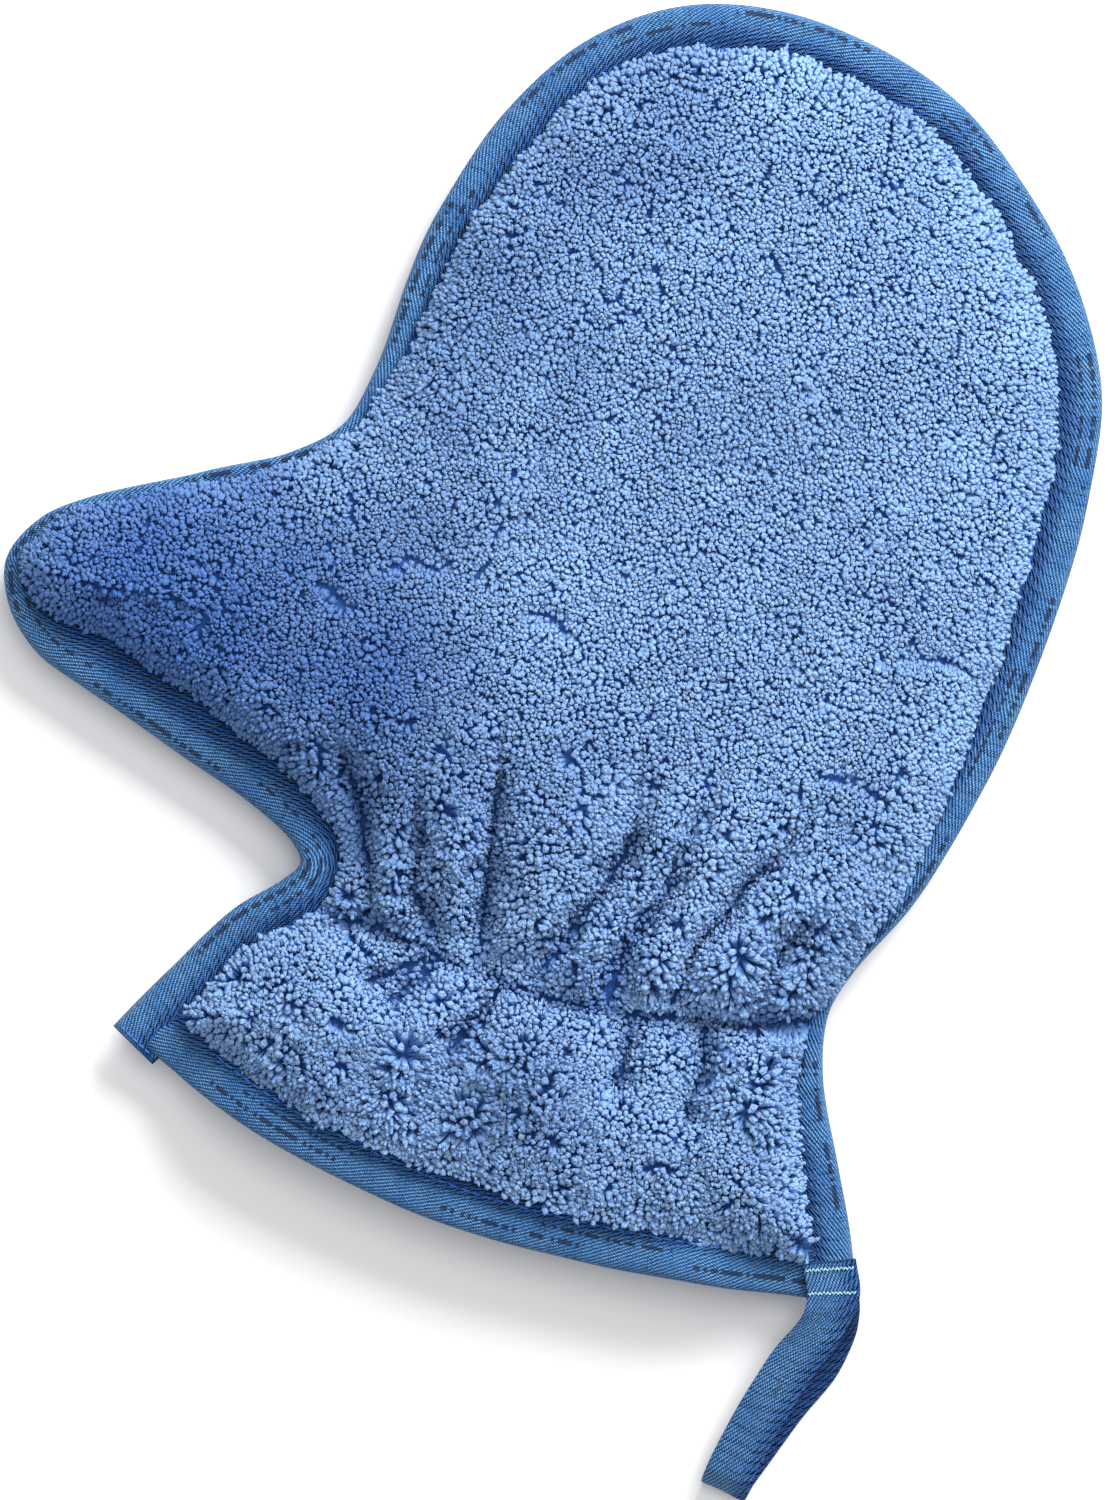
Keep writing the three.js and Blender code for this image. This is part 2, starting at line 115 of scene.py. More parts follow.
def spline(points, step, values=None):
    """Centripetal Catmull-Rom through the points, resampled every step. Returns places and values."""
    p = np.array(points, float)
    extra = np.zeros((len(p), 0)) if values is None else np.array(values, float).reshape(len(p), -1)
    q = np.hstack([p, extra])
    k = p.shape[1]
    ends = [2 * q[0] - q[1], *q, 2 * q[-1] - q[-2]]
    out = []
    for a, b, c, d in zip(ends, ends[1:], ends[2:], ends[3:]):
        t1 = max(np.linalg.norm((b - a)[:k]), 1e-6) ** 0.5
        t2 = t1 + max(np.linalg.norm((c - b)[:k]), 1e-6) ** 0.5
        t3 = t2 + max(np.linalg.norm((d - c)[:k]), 1e-6) ** 0.5
        t = np.linspace(t1, t2, 33)[:-1, None]
        a1 = (t1 - t) / t1 * a + t / t1 * b
        a2 = (t2 - t) / (t2 - t1) * b + (t - t1) / (t2 - t1) * c
        a3 = (t3 - t) / (t3 - t2) * c + (t - t2) / (t3 - t2) * d
        b1 = (t2 - t) / t2 * a1 + t / t2 * a2
        b2 = (t3 - t) / (t3 - t1) * a2 + (t - t1) / (t3 - t1) * a3
        out.append((t2 - t) / (t2 - t1) * b1 + (t - t1) / (t2 - t1) * b2)
    out = np.vstack([*out, q[-1:]])
    run = np.concatenate([[0], np.cumsum(np.linalg.norm(np.diff(out[:, :k], axis=0), axis=1))])
    at = np.linspace(0, run[-1], max(2, int(round(run[-1] / step)) + 1))
    res = np.stack([np.interp(at, run, out[:, i]) for i in range(out.shape[1])], axis=1)
    return (res[:, :k], at) if values is None else (res[:, :k], at, res[:, k:])


def tangents(path):
    t = np.gradient(path, axis=0)
    return t / np.maximum(np.linalg.norm(t, axis=1, keepdims=True), 1e-9)


def inward(path):
    t = tangents(path)
    return np.stack([t[:, 1], -t[:, 0]], axis=1)


def nearest(path, p):
    """Distance from each point to a dense path, and the index of its nearest place."""
    dist, idx = np.empty(len(p)), np.empty(len(p), int)
    for i in range(0, len(p), 4000):
        d = np.hypot(p[i:i + 4000, None, 0] - path[None, :, 0], p[i:i + 4000, None, 1] - path[None, :, 1])
        idx[i:i + 4000] = d.argmin(1)
        dist[i:i + 4000] = d.min(1)
    return dist, idx


def line_distance(points, p):
    """Distance to a coarse polyline, and how far along it, from 0 to 1, the nearest place is."""
    pts = np.array(points, float)
    best, along = np.full(len(p), 1e9), np.zeros(len(p))
    n = len(pts) - 1
    for i in range(n):
        ab = pts[i + 1] - pts[i]
        t = np.clip(((p - pts[i]) @ ab) / (ab @ ab), 0, 1)
        d = np.linalg.norm(p - (pts[i] + t[:, None] * ab), axis=1)
        near = d < best
        best[near], along[near] = d[near], (i + t[near]) / n
    return best, along


def inside(poly, p):
    hit = np.zeros(len(p), bool)
    a, b = poly, np.roll(poly, -1, axis=0)
    for (x0, y0), (x1, y1) in zip(a, b):
        if y0 == y1:
            continue
        left_of = p[:, 0] < (x1 - x0) * (p[:, 1] - y0) / (y1 - y0) + x0
        hit ^= ((y0 > p[:, 1]) != (y1 > p[:, 1])) & left_of
    return hit


def smoothstep(x, lo, hi):
    t = np.clip((x - lo) / (hi - lo), 0, 1)
    return t * t * (3 - 2 * t)


class Noise:
    """Smooth seeded noise from -1 to 1 over the plane."""

    def __init__(self, seed):
        self.table = np.random.default_rng(seed).uniform(-1, 1, (256, 256))

    def __call__(self, p, scale):
        x, y = p[:, 0] / scale + 91.3, p[:, 1] / scale + 57.7
        i, j = np.floor(x).astype(int), np.floor(y).astype(int)
        fx, fy = x - i, y - j
        fx, fy = fx * fx * (3 - 2 * fx), fy * fy * (3 - 2 * fy)
        v = self.table
        a, b = v[i % 256, j % 256], v[(i + 1) % 256, j % 256]
        c, d = v[i % 256, (j + 1) % 256], v[(i + 1) % 256, (j + 1) % 256]
        return (a * (1 - fx) + b * fx) * (1 - fy) + (c * (1 - fx) + d * fx) * fy


# ---- Outline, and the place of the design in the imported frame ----

side, side_run, shows = spline(SIDE, 0.8, TAPE_SHOWS)
shows = shows[:, 0]
cuff, cuff_run = spline(CUFF, 0.8)
side_in, cuff_in = inward(side), inward(cuff)
outline = np.vstack([side, cuff])
low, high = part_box("edge_binding")
SHIFT = np.array([
    (low.x + high.x) / 2 / MM - (side[:, 0].min() + side[:, 0].max()) / 2,
    high.y / MM - side[:, 1].max(),
    0.0,
])


def place(v):
    """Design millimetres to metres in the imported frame."""
    return (np.asarray(v, float) + SHIFT) * MM


# ---- Heights of the two panels' grounds ----

# Creases that the wrist elastic draws in the front panel: (places, depth, half width).
CREASES = [
    ([(-47, -6), (-43.6, -13), (-37.4, -24), (-32, -38), (-31, -47)], 4.2, 3.4),
    ([(-26, -8), (-24, -24), (-21, -36), (-13, -49)], 4.0, 2.8),
    ([(-12.6, 4), (-10, -14), (-6.5, -33), (-4.5, -48)], 4.8, 3.0),
    ([(17.6, 6), (21, -8), (21, -15), (18, -26.5), (14, -37), (8.5, -48)], 6.2, 3.6),
    ([(38, 2), (33, -18), (27, -36), (26, -50)], 3.6, 3.0),
    ([(60, 4), (54, -8), (46, -24), (41.4, -35), (38.4, -48)], 5.2, 3.4),
    ([(66, -18), (60, -32), (56, -46)], 2.6, 3.2),
    ([(-30, -62), (-24, -58), (-13, -51)], 3.2, 2.6),
    ([(-22, -68), (-14, -52.6)], 3.0, 2.6),
    ([(-9, -82), (-4, -67), (1.7, -54)], 4.0, 3.2),
    ([(33, -72), (32.3, -67), (31, -53)], 3.4, 3.0),
    ([(50, -76), (49.3, -68.5), (48, -50)], 3.4, 3.0),
]
# Places where the pile opens like a flower: (x, y, radius, strength).
OPENINGS = [
    (2.8, -0.5, 4.5, 1.0), (-35.7, -1.6, 4.5, 0.9), (33.4, 23, 3.5, 0.6), (75.4, 13, 4.5, 0.9),
    (49, -34.5, 5, 1.0), (29, -31, 4.5, 1.0), (-20, -20, 4, 0.8), (-39, -68.5, 5, 1.1),
    (9.6, -69.6, 5, 1.1), (44.8, -82, 4.5, 0.9),
    (-15, -74, 4.5, 0.8), (-8, 152, 3.5, 0.6), (-38, -80, 4, 0.7), (62, -66, 4, 0.7), (72, 0, 4, 0.8),
    (-84, 14, 3.5, 0.5), (10, 96, 3, 0.3), (-22, 50, 4, 0.5), (3, -86, 4.5, 1.0), (-42, 12, 4, 0.7),
    (0, -24, 4, 0.7), (24, -84, 4, 0.7), (52, -2, 4, 0.6), (22, 4, 4, 0.6), (-48, 32, 4, 0.5),
    (66, 34, 3.5, 0.6), (-58, -68, 4, 0.7),
]
# Short cracks in the pile, between two places.
CRACKS = [
    ((33.4, -10), (33.6, 5)), ((68, 40), (83, 41)), ((16, -48), (16.5, -36)), ((-12, 30), (-4, 26)),
    ((-46, 30), (-34, 34)), ((60, 12), (70, 8)), ((-14, -52), (-20, -64)), ((-60, 22), (-50, 18)),
]
# Patches where the pile is painted darker or lighter as painted shade and painted light, where its slope
# faces away from or towards the lamp: (x, y, radius, change).
LIGHT_AND_SHADE_PATCHES = [
    (-92, 6, 40, -0.46), (-50, 14, 26, -0.14), (4, -6, 38, -0.04), (-38, -12, 24, -0.14),
    (16, 150, 34, -0.02),
    (76, 76, 30, 0.08), (-30, 92, 26, -0.10), (44, 40, 34, 0.06), (84, 20, 16, 0.08),
    (84, -30, 14, -0.08),
    (54, -84, 22, -0.04), (-44, -70, 18, 0.06),
]
big, mid, fine = Noise(11), Noise(23), Noise(37)


class Field:
    """What the shape functions need to know about some points."""

    def __init__(self, p):
        self.p = p
        self.side, i = nearest(side, p)
        self.cuff, j = nearest(cuff, p)
        self.shows = shows[i]
        self.side_out, self.cuff_out = -side_in[i], -cuff_in[j]


def pocket(f):
    return 1 - np.exp(-(np.maximum(0, f.side - RISE_INSET) / RISE_SPREAD) ** 2)


def mouth(f):
    return smoothstep(-f.p[:, 1], 52, 96) * smoothstep(f.side, RISE_INSET, 52)


def front_inside(f):
    """Inner face of the front panel, as in part.mjs."""
    wrist = np.exp(-((f.p[:, 1] - WRIST_Y) / WRIST_SPREAD) ** 2) * pocket(f)
    rise = 1 - (1 - pocket(f)) * (1 - mouth(f))
    return FRONT_LOW + POCKET_RISE * rise - WRIST_SQUEEZE * wrist


def back_inside(f):
    return BACK_TOP - POCKET_DROP * pocket(f) - CUFF_DROP * mouth(f)


def pile_edge(f):
    """How far a point is inside the edge of the pile."""
    hang = 0.7 + 0.9 * fine(f.p, 7) + 0.5 * mid(f.p, 19)
    return np.minimum(f.side - (f.shows + hang), f.cuff - (HEM_WIDTH + hang))


def relief(f):
    """Creases, and the rounded lobes between them, round the elasticated wrist."""
    p = f.p + np.stack([mid(f.p + 50, 11), mid(f.p + 800, 11)], axis=-1) * 1.4
    lift, nearby = np.zeros(len(p)), np.full(len(p), 1e9)
    for places, depth, half in CREASES:
        d, t = line_distance(places, p)
        grow_in = smoothstep(t, -0.15, 0.4)
        dip = 1.05 * np.exp(-(d / (1.5 * half)) ** 1.4) + 0.4 * np.exp(-(d / 1.3) ** 1.5)
        lift -= depth * dip * (0.1 + 0.9 * grow_in)
        nearby = np.minimum(nearby, d + 9 * (1 - grow_in))
    d, _ = line_distance(WRIST, p)
    lift -= 4.0 * np.exp(-(d / 5.0) ** 1.15)
    lift -= 1.6 * np.exp(-(d / 1.5) ** 1.5) + 1.2 * np.exp(-(d / 16) ** 2)
    nearby = np.minimum(nearby, d)
    zone = np.exp(-((p[:, 1] + 46) / 40) ** 2)
    return lift + 4.4 * zone * (1 - np.exp(-(nearby / 7.0) ** 2)) - 0.8 * zone, nearby


ROOT_LOW = 12.4  # roots of the front's pile beside the tape
ROOT_RISE = 9.2  # and how far they climb towards the middle
ROOT_SPREAD = 8
CUFF_ROOT = 19.6  # least height of the roots over the cuff's mouth
CLEAR_SHARPNESS = 2.5  # how tightly the roots follow the CAD's panel where they meet it


def front_ground(f):
    """Height of the pile's roots on the front."""
    edge = np.maximum(0, pile_edge(f))
    core = ROOT_LOW + ROOT_RISE * (1 - np.exp(-edge / ROOT_SPREAD))
    cuff_up = mouth(f) * np.maximum(0, CUFF_ROOT - core)
    swell = 0.9 * big(f.p, 34) + 0.5 * mid(f.p, 15) + 0.22 * fine(f.p, 6)
    fade = smoothstep(edge, 0, 9)
    z = core + cuff_up + (relief(f)[0] + swell) * (0.2 + 0.8 * fade)
    free = 1 - np.exp(-((f.p[:, 1] - WRIST_Y) / 9) ** 4)
    floor_z = np.minimum(front_inside(f) + 1.2 - 4.2 * free, core)
    return floor_z + np.logaddexp(0, (z - floor_z) * CLEAR_SHARPNESS) / CLEAR_SHARPNESS


def back_ground(f):
    """Height of the pile's roots on the back, which lies on the table."""
    edge = np.maximum(0, np.minimum(f.side - (22 - f.shows) * 0.5 - 5.5, f.cuff - HEM_WIDTH - 1))
    return 6.4 - 1.6 * (1 - np.exp(-edge / ROOT_SPREAD)) + 0.25 * mid(f.p, 15)


def slope_of(values, p, step=0.4):
    """Both slopes of a function of places, at each place."""
    gx = (values(p + [step, 0]) - values(p - [step, 0])) / (2 * step)
    gy = (values(p + [0, step]) - values(p - [0, step])) / (2 * step)
    return np.stack([gx, gy], axis=-1)


def slope(height, p):
    return slope_of(lambda q: height(Field(q)), p, 0.6).T


# ---- Meshes ----


def mesh_object(name, points, faces, uvs=None, values=None):
    """An object from points in design millimetres. faces is a list of (n, k) index arrays."""
    me = bpy.data.meshes.new(name)
    co = place(points).astype(np.float32)
    loops = np.concatenate([f.reshape(-1) for f in faces]).astype(np.int32)
    sizes = np.concatenate([np.full(len(f), f.shape[1]) for f in faces])
    starts = np.concatenate([[0], np.cumsum(sizes)[:-1]]).astype(np.int32)
    me.vertices.add(len(co))
    me.vertices.foreach_set("co", co.reshape(-1))
    me.loops.add(len(loops))
    me.loops.foreach_set("vertex_index", loops)
    me.polygons.add(len(sizes))
    me.polygons.foreach_set("loop_start", starts)
    me.update(calc_edges=True)
    for layer, uv in (uvs or {}).items():
        data = me.uv_layers.new(name=layer).data
        data.foreach_set("uv", uv[loops].astype(np.float32).reshape(-1))
    for key, value in (values or {}).items():
        me.attributes.new(key, "FLOAT", "POINT").data.foreach_set("value", value.astype(np.float32))
    me.polygons.foreach_set("use_smooth", np.full(len(sizes), True))
    me.validate()
    obj = bpy.data.objects.new(name, me)
    bpy.context.scene.collection.objects.link(obj)
    return obj


def strip_faces(rows, cols, closed=False):
    """Quads of a rows by cols sheet of points, closed round its columns if asked."""
    i, j = np.meshgrid(np.arange(rows - 1), np.arange(cols if closed else cols - 1), indexing="ij")
    k = (j + 1) % cols
    quads = np.stack([i * cols + j, i * cols + k, (i + 1) * cols + k, (i + 1) * cols + j], axis=-1)
    return quads.reshape(-1, 4)


def tape_mesh(name, grid, run, fold=0, capped=True, flipped=False, values=None):
    """A tape from its sections, with Tape UVs in millimetres along it and across from its fold."""
    n, cols = grid.shape[:2]
    gap = np.linalg.norm(np.diff(grid, axis=1), axis=2)
    v = np.concatenate([np.zeros((n, 1)), np.cumsum(gap, axis=1)], axis=1)
    v = v - v[:, fold:fold + 1]
    uv = np.stack([np.repeat(run[:, None], cols, 1), v], axis=-1)
    faces = [strip_faces(n, cols, closed=True)]
    if flipped:
        faces[0] = faces[0][:, ::-1]
    if capped:
        faces += [np.arange(cols)[None, :], ((n - 1) * cols + np.arange(cols))[None, ::-1]]
    return mesh_object(name, grid.reshape(-1, 3), faces, {"Tape": uv.reshape(-1, 2)}, values)


def finish_piece(obj, material, body="mitt"):
    obj.data.materials.clear()
    obj.data.materials.append(material)
    if body:
        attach(obj, body)
    return obj


# ---- Materials ----


class Nodes:
    """A short way to write a material's node tree."""

    def __init__(self, name):
        self.mat = bpy.data.materials.new(name)
        self.mat.use_nodes = True
        self.tree = self.mat.node_tree
        self.tree.nodes.clear()
        self.out = self.tree.nodes.new("ShaderNodeOutputMaterial")
        self.bsdf = self.tree.nodes.new("ShaderNodeBsdfPrincipled")
        self.tree.links.new(self.bsdf.outputs[0], self.out.inputs[0])

    def feed(self, socket, value):
        if isinstance(value, bpy.types.NodeSocket):
            self.tree.links.new(value, socket)
        elif isinstance(value, tuple) and socket.type == "RGBA" and len(value) == 3:
            socket.default_value = (*value, 1)
        else:
            socket.default_value = value

    def node(self, kind, out=0, props=None, **inputs):
        n = self.tree.nodes.new("ShaderNode" + kind)
        for key, value in (props or {}).items():
            setattr(n, key, value)
        for key, value in inputs.items():
            socket = n.inputs[int(key[1:])] if key[0] == "i" and key[1:].isdigit() else n.inputs[key]
            self.feed(socket, value)
        return n.outputs[out]

    def math(self, op, a, b=0.0, c=0.0, clamp=False):
        return self.node("Math", props={"operation": op, "use_clamp": clamp}, i0=a, i1=b, i2=c)

    def mix(self, factor, a, b, blend="MIX"):
        return self.node("Mix", 2, {"data_type": "RGBA", "blend_type": blend}, i0=factor, i6=a, i7=b)

    def value(self, name):
        return self.node("Attribute", 2, {"attribute_name": name})

    def ramp(self, factor, stops):
        n = self.tree.nodes.new("ShaderNodeValToRGB")
        while len(n.color_ramp.elements) < len(stops):
            n.color_ramp.elements.new(0.5)
        for e, (pos, colour) in zip(n.color_ramp.elements, stops):
            e.position, e.color = pos, (*colour, 1)
        self.feed(n.inputs[0], factor)
        return n.outputs[0]

    def noise(self, vector, scale, detail=2.0, rough=0.5, out=0):
        return self.node("TexNoise", out, Vector=vector, Scale=scale, Detail=detail, Roughness=rough)

    def bump(self, height, strength, distance, normal=None):
        n = self.tree.nodes.new("ShaderNodeBump")
        n.inputs["Strength"].default_value = strength
        n.inputs["Distance"].default_value = distance
        self.feed(n.inputs["Height"], height)
        if normal is not None:
            self.feed(n.inputs["Normal"], normal)
        return n.outputs[0]

    def finish(self, colour, rough, normal=None, sheen=0.0, sheen_tint=(1, 1, 1), specular=0.3):
        b = self.bsdf
        self.feed(b.inputs["Base Color"], colour)
        self.feed(b.inputs["Roughness"], rough)
        if normal is not None:
            self.feed(b.inputs["Normal"], normal)
        b.inputs["Specular IOR Level"].default_value = specular
        b.inputs["Sheen Weight"].default_value = sheen
        b.inputs["Sheen Roughness"].default_value = 0.35
        b.inputs["Sheen Tint"].default_value = (*sheen_tint, 1)
        return self.mat


def linear(r, g, b):
    """An sRGB colour, 0 to 255, as linear."""
    return tuple((c / 255 / 12.92) if c <= 10 else ((c / 255 + 0.055) / 1.055) ** 2.4 for c in (r, g, b))


def plush_material():
    n = Nodes("plush_pile")
    at = n.node("TexCoord", 3)
    tip, rnd, tone = n.value("tip"), n.value("rnd"), n.value("tone")
    patch = n.noise(at, 28, 2)
    body = n.ramp(tip, [
        (0.0, linear(38, 88, 170)), (0.5, linear(68, 120, 196)), (0.9, linear(116, 156, 204)),
        (1.0, linear(158, 190, 218)),
    ])
    varied = n.mix(n.math("MULTIPLY", rnd, 0.3), body, linear(124, 166, 226))
    worn = n.mix(n.math("MULTIPLY", patch, 0.2), varied, linear(178, 206, 240))
    streak = n.noise(n.node("Mapping", Vector=at, Scale=(1, 1, 0.3)), 2600, 3, 0.7)
    # Painted shade: small cells over each tuft are mixed darker towards their edges, in the crevices
    # between nubs.
    nub = n.node("TexVoronoi", 0, {"feature": "F1"}, Vector=at, Scale=1350)
    gap = n.math("MULTIPLY_ADD", nub, 1.7, -0.62, clamp=True)
    tinted = n.mix(n.math("MULTIPLY_ADD", streak, 0.6, -0.2, clamp=True), worn, linear(84, 134, 210))
    tinted = n.mix(n.math("MULTIPLY", gap, 0.55), tinted, linear(66, 118, 200))
    mottle = n.noise(at, 1500, 3, 0.7)
    tinted = n.mix(n.math("MULTIPLY_ADD", mottle, 2.2, -0.95, clamp=True), tinted, linear(84, 132, 200))
    # Painted light and shade: the tone attribute scales the colour, and where it is below 1 it mixes it
    # towards a deep blue.
    light = n.math("MAXIMUM", tone, 0.8)
    toned = n.node("VectorMath", 0, {"operation": "SCALE"}, i0=tinted, Scale=light)
    shade = n.math("MULTIPLY_ADD", tone, -1.5, 1.5, clamp=True)
    toned = n.mix(shade, toned, linear(30, 86, 172))
    relief = n.math("MULTIPLY_ADD", nub, -1.0, streak)
    normal = n.bump(relief, 1.0, 0.0005)
    rough = n.math("MULTIPLY_ADD", streak, 0.25, 0.62)
    return n.finish(toned, rough, normal, sheen=0.12, sheen_tint=linear(140, 180, 246), specular=0.12)


def ground_material():
    n = Nodes("plush_ground")
    at = n.node("TexCoord", 3)
    knit = n.node("TexVoronoi", 0, {"feature": "F1"}, Vector=at, Scale=900)
    colour = n.ramp(knit, [(0.0, linear(44, 88, 156)), (1.0, linear(24, 60, 124))])
    return n.finish(colour, 0.9, n.bump(knit, 0.6, 0.0004), sheen=0.2, sheen_tint=linear(150, 190, 240))


TAU = 6.2832
RIB_PITCH = 0.95
FLOAT_PITCH = 0.62


def tape_material(name, painted_shade_scale=1.0, prints=True):
    """Warp-knit tape: short floats in diagonal rows, with painted highlight on the floats and painted
    shade in the grooves, wavy printed lines and generic dash marks.
    """
    n = Nodes(name)
    uv = n.node("UVMap", props={"uv_map": "Tape"})
    xyz = n.tree.nodes.new("ShaderNodeSeparateXYZ")
    n.feed(xyz.inputs[0], uv)
    u, v = xyz.outputs[0], xyz.outputs[1]  # millimetres along and across
    wobble = n.noise(uv, 0.35, 2)
    course = n.math("ADD", n.math("MULTIPLY", u, 0.62), n.math("MULTIPLY", v, 1.12))
    course = n.math("ADD", course, n.math("MULTIPLY", wobble, 0.5))
    rib = n.math("SINE", n.math("MULTIPLY", course, TAU / RIB_PITCH))
    slant = n.math("SUBTRACT", v, n.math("MULTIPLY", u, 0.75))
    float_row = n.math("SINE", n.math("MULTIPLY", slant, TAU / FLOAT_PITCH))
    speck = n.math("MULTIPLY_ADD", n.noise(uv, 2.6, 2, 0.7), 1.6, -0.8)
    weave = n.math("MULTIPLY_ADD", n.math("MULTIPLY", float_row, 0.35), 1.0, n.math("MULTIPLY", rib, 0.6))
    height = n.math("MULTIPLY_ADD", n.math("ADD", weave, speck), 0.5, 0.5, clamp=True)
    patch = n.noise(uv, 0.11, 3, 0.6)
    # The weave's height sets its colour: painted shade in the low grooves, painted highlight on the high
    # floats.
    groove_shade_c = tuple(c * painted_shade_scale for c in linear(6, 44, 100))
    mid_c = tuple(c * painted_shade_scale for c in linear(36, 100, 164))
    float_highlight_c = tuple(c * painted_shade_scale for c in linear(138, 190, 228))
    colour = n.ramp(height, [(0.0, groove_shade_c), (0.45, mid_c), (1.0, float_highlight_c)])
    deep = n.mix(n.math("MULTIPLY_ADD", patch, 1.6, -0.62, clamp=True), colour, linear(20, 86, 160))
    # Beyond about 7 mm across from the fold the colour is mixed towards a deeper blue: partly the tape's
    # own colour, partly painted shade in the puckers by the seam.
    inner = n.math("MULTIPLY_ADD", v, 0.3, -2.0, clamp=True)
    deep = n.mix(n.math("MULTIPLY", inner, 0.6), deep, linear(14, 72, 154))
    # Wavy contour lines printed in grey-green.
    drawn = n.node("Mapping", Vector=uv, Scale=(0.06, 0.16, 1))
    flow = n.node("TexNoise", 0, Vector=drawn, Scale=1.0, Detail=1.5)
    line = n.math("ABSOLUTE", n.math("SINE", n.math("MULTIPLY", flow, 62)))
    ink = n.math("SUBTRACT", 1.0, n.math("MULTIPLY", line, 4.0), clamp=True)
    colour = n.mix(n.math("MULTIPLY", ink, 0.7), deep, linear(52, 72, 78))
    if prints:
        # Generic dashes in two rows, with long plain stretches between them.
        tick = n.math("FLOOR", n.math("DIVIDE", u, 0.8))
        chance = n.node("TexWhiteNoise", 0, {"noise_dimensions": "1D"}, W=tick)
        gate = n.math("GREATER_THAN", n.math("FRACT", n.math("DIVIDE", u, 58.0)), 0.42)
        row = n.math("LESS_THAN", n.math("ABSOLUTE", n.math("SUBTRACT", v, 4.2)), 0.55)
        row2 = n.math("LESS_THAN", n.math("ABSOLUTE", n.math("SUBTRACT", v, 6.9)), 0.4)
        gate2 = n.math("GREATER_THAN", n.math("FRACT", n.math("DIVIDE", u, 74.0)), 0.6)
        dash = n.math("LESS_THAN", chance, 0.6)
        marks = n.math("MAXIMUM", n.math("MULTIPLY", row, gate), n.math("MULTIPLY", row2, gate2))
        marks = n.math("MULTIPLY", n.math("MULTIPLY", marks, dash), 0.82)
        colour = n.mix(marks, colour, linear(22, 34, 62))
    crush = n.noise(n.node("Mapping", Vector=uv, Scale=(0.34, 0.07, 1)), 1.0, 3, 0.6)
    # Painted shade: the strap's inside face is mixed towards a darker blue, where it lies under the
    # strap's other leg.
    colour = n.mix(n.math("MULTIPLY", n.value("inner"), 0.6), colour, linear(18, 62, 128))
    pleat = n.math("MULTIPLY_ADD", v, 1.3, n.math("MULTIPLY", u, 2.4))
    ribs = n.math("MULTIPLY", n.math("SINE", pleat), inner)
    relief = n.math("MULTIPLY_ADD", ribs, 0.3, crush)
    normal = n.bump(height, 1.0, 0.0005, n.bump(relief, 1.0, 0.003))
    rough = n.math("MULTIPLY_ADD", height, -0.2, 0.72)
    return n.finish(colour, rough, normal, sheen=0.08, sheen_tint=linear(120, 180, 250), specular=0.25)


def thread_material(name, colour):
    n = Nodes(name)
    at = n.node("TexCoord", 3)
    twist = n.noise(at, 5200, 1)
    tone = n.mix(twist, colour, tuple(min(1.0, c * 2.2 + 0.02) for c in colour))
    return n.finish(tone, 0.5, n.bump(twist, 0.5, 0.0002), specular=0.45)


def elastic_material():
    n = Nodes("wrist_elastic")
    at = n.node("TexCoord", 3)
    bands = {"wave_type": "BANDS", "bands_direction": "Y"}
    rib = n.node("TexWave", 0, bands, Vector=at, Scale=320, Distortion=0.4)
    colour = n.ramp(rib, [(0.0, linear(168, 178, 192)), (1.0, linear(232, 236, 242))])
    return n.finish(colour, 0.8, n.bump(rib, 0.6, 0.0004), sheen=0.1)


PLUSH, CLOTH = plush_material(), ground_material()
# The strap's copy of the tape has all its colours scaled to 0.92 as painted shade.
TAPE, TAPE_INNER = tape_material("tape"), tape_material("tape_strap", 0.92, prints=False)
BLUE_THREAD = thread_material("blue_thread", linear(34, 92, 184))
PALE_THREAD = thread_material("pale_thread", linear(136, 170, 204))
ELASTIC = elastic_material()

# ---- Pile ----

# The net the tufts stand on: the pitch along a row and between rows, as shares of the spacing.
WIDE = 1.25
ROW_RISE = 0.866
PART_STEP = 0.5
SIX = [(a, b) for a in range(-2, 3) for b in range(-2, 3) if (a, b) != (0, 0)]


def cells(grid, spokes, turn):
    """Reach of each point's own cell in each spoke's direction, on a (rows, cols, 2) net of points."""
    rows, cols = grid.shape[:2]
    reach = np.full((rows, cols, len(spokes)), 9.0)
    ang = turn[..., None] + spokes
    ux, uy = np.cos(ang), np.sin(ang)
    for a, b in SIX:
        d = np.roll(grid, (a, b), (0, 1)) - grid
        half = (d ** 2).sum(-1)[..., None] / 2
        along = d[..., 0:1] * ux + d[..., 1:2] * uy
        reach = np.where(along > 1e-3, np.minimum(reach, half / np.maximum(along, 1e-3)), reach)
    return reach


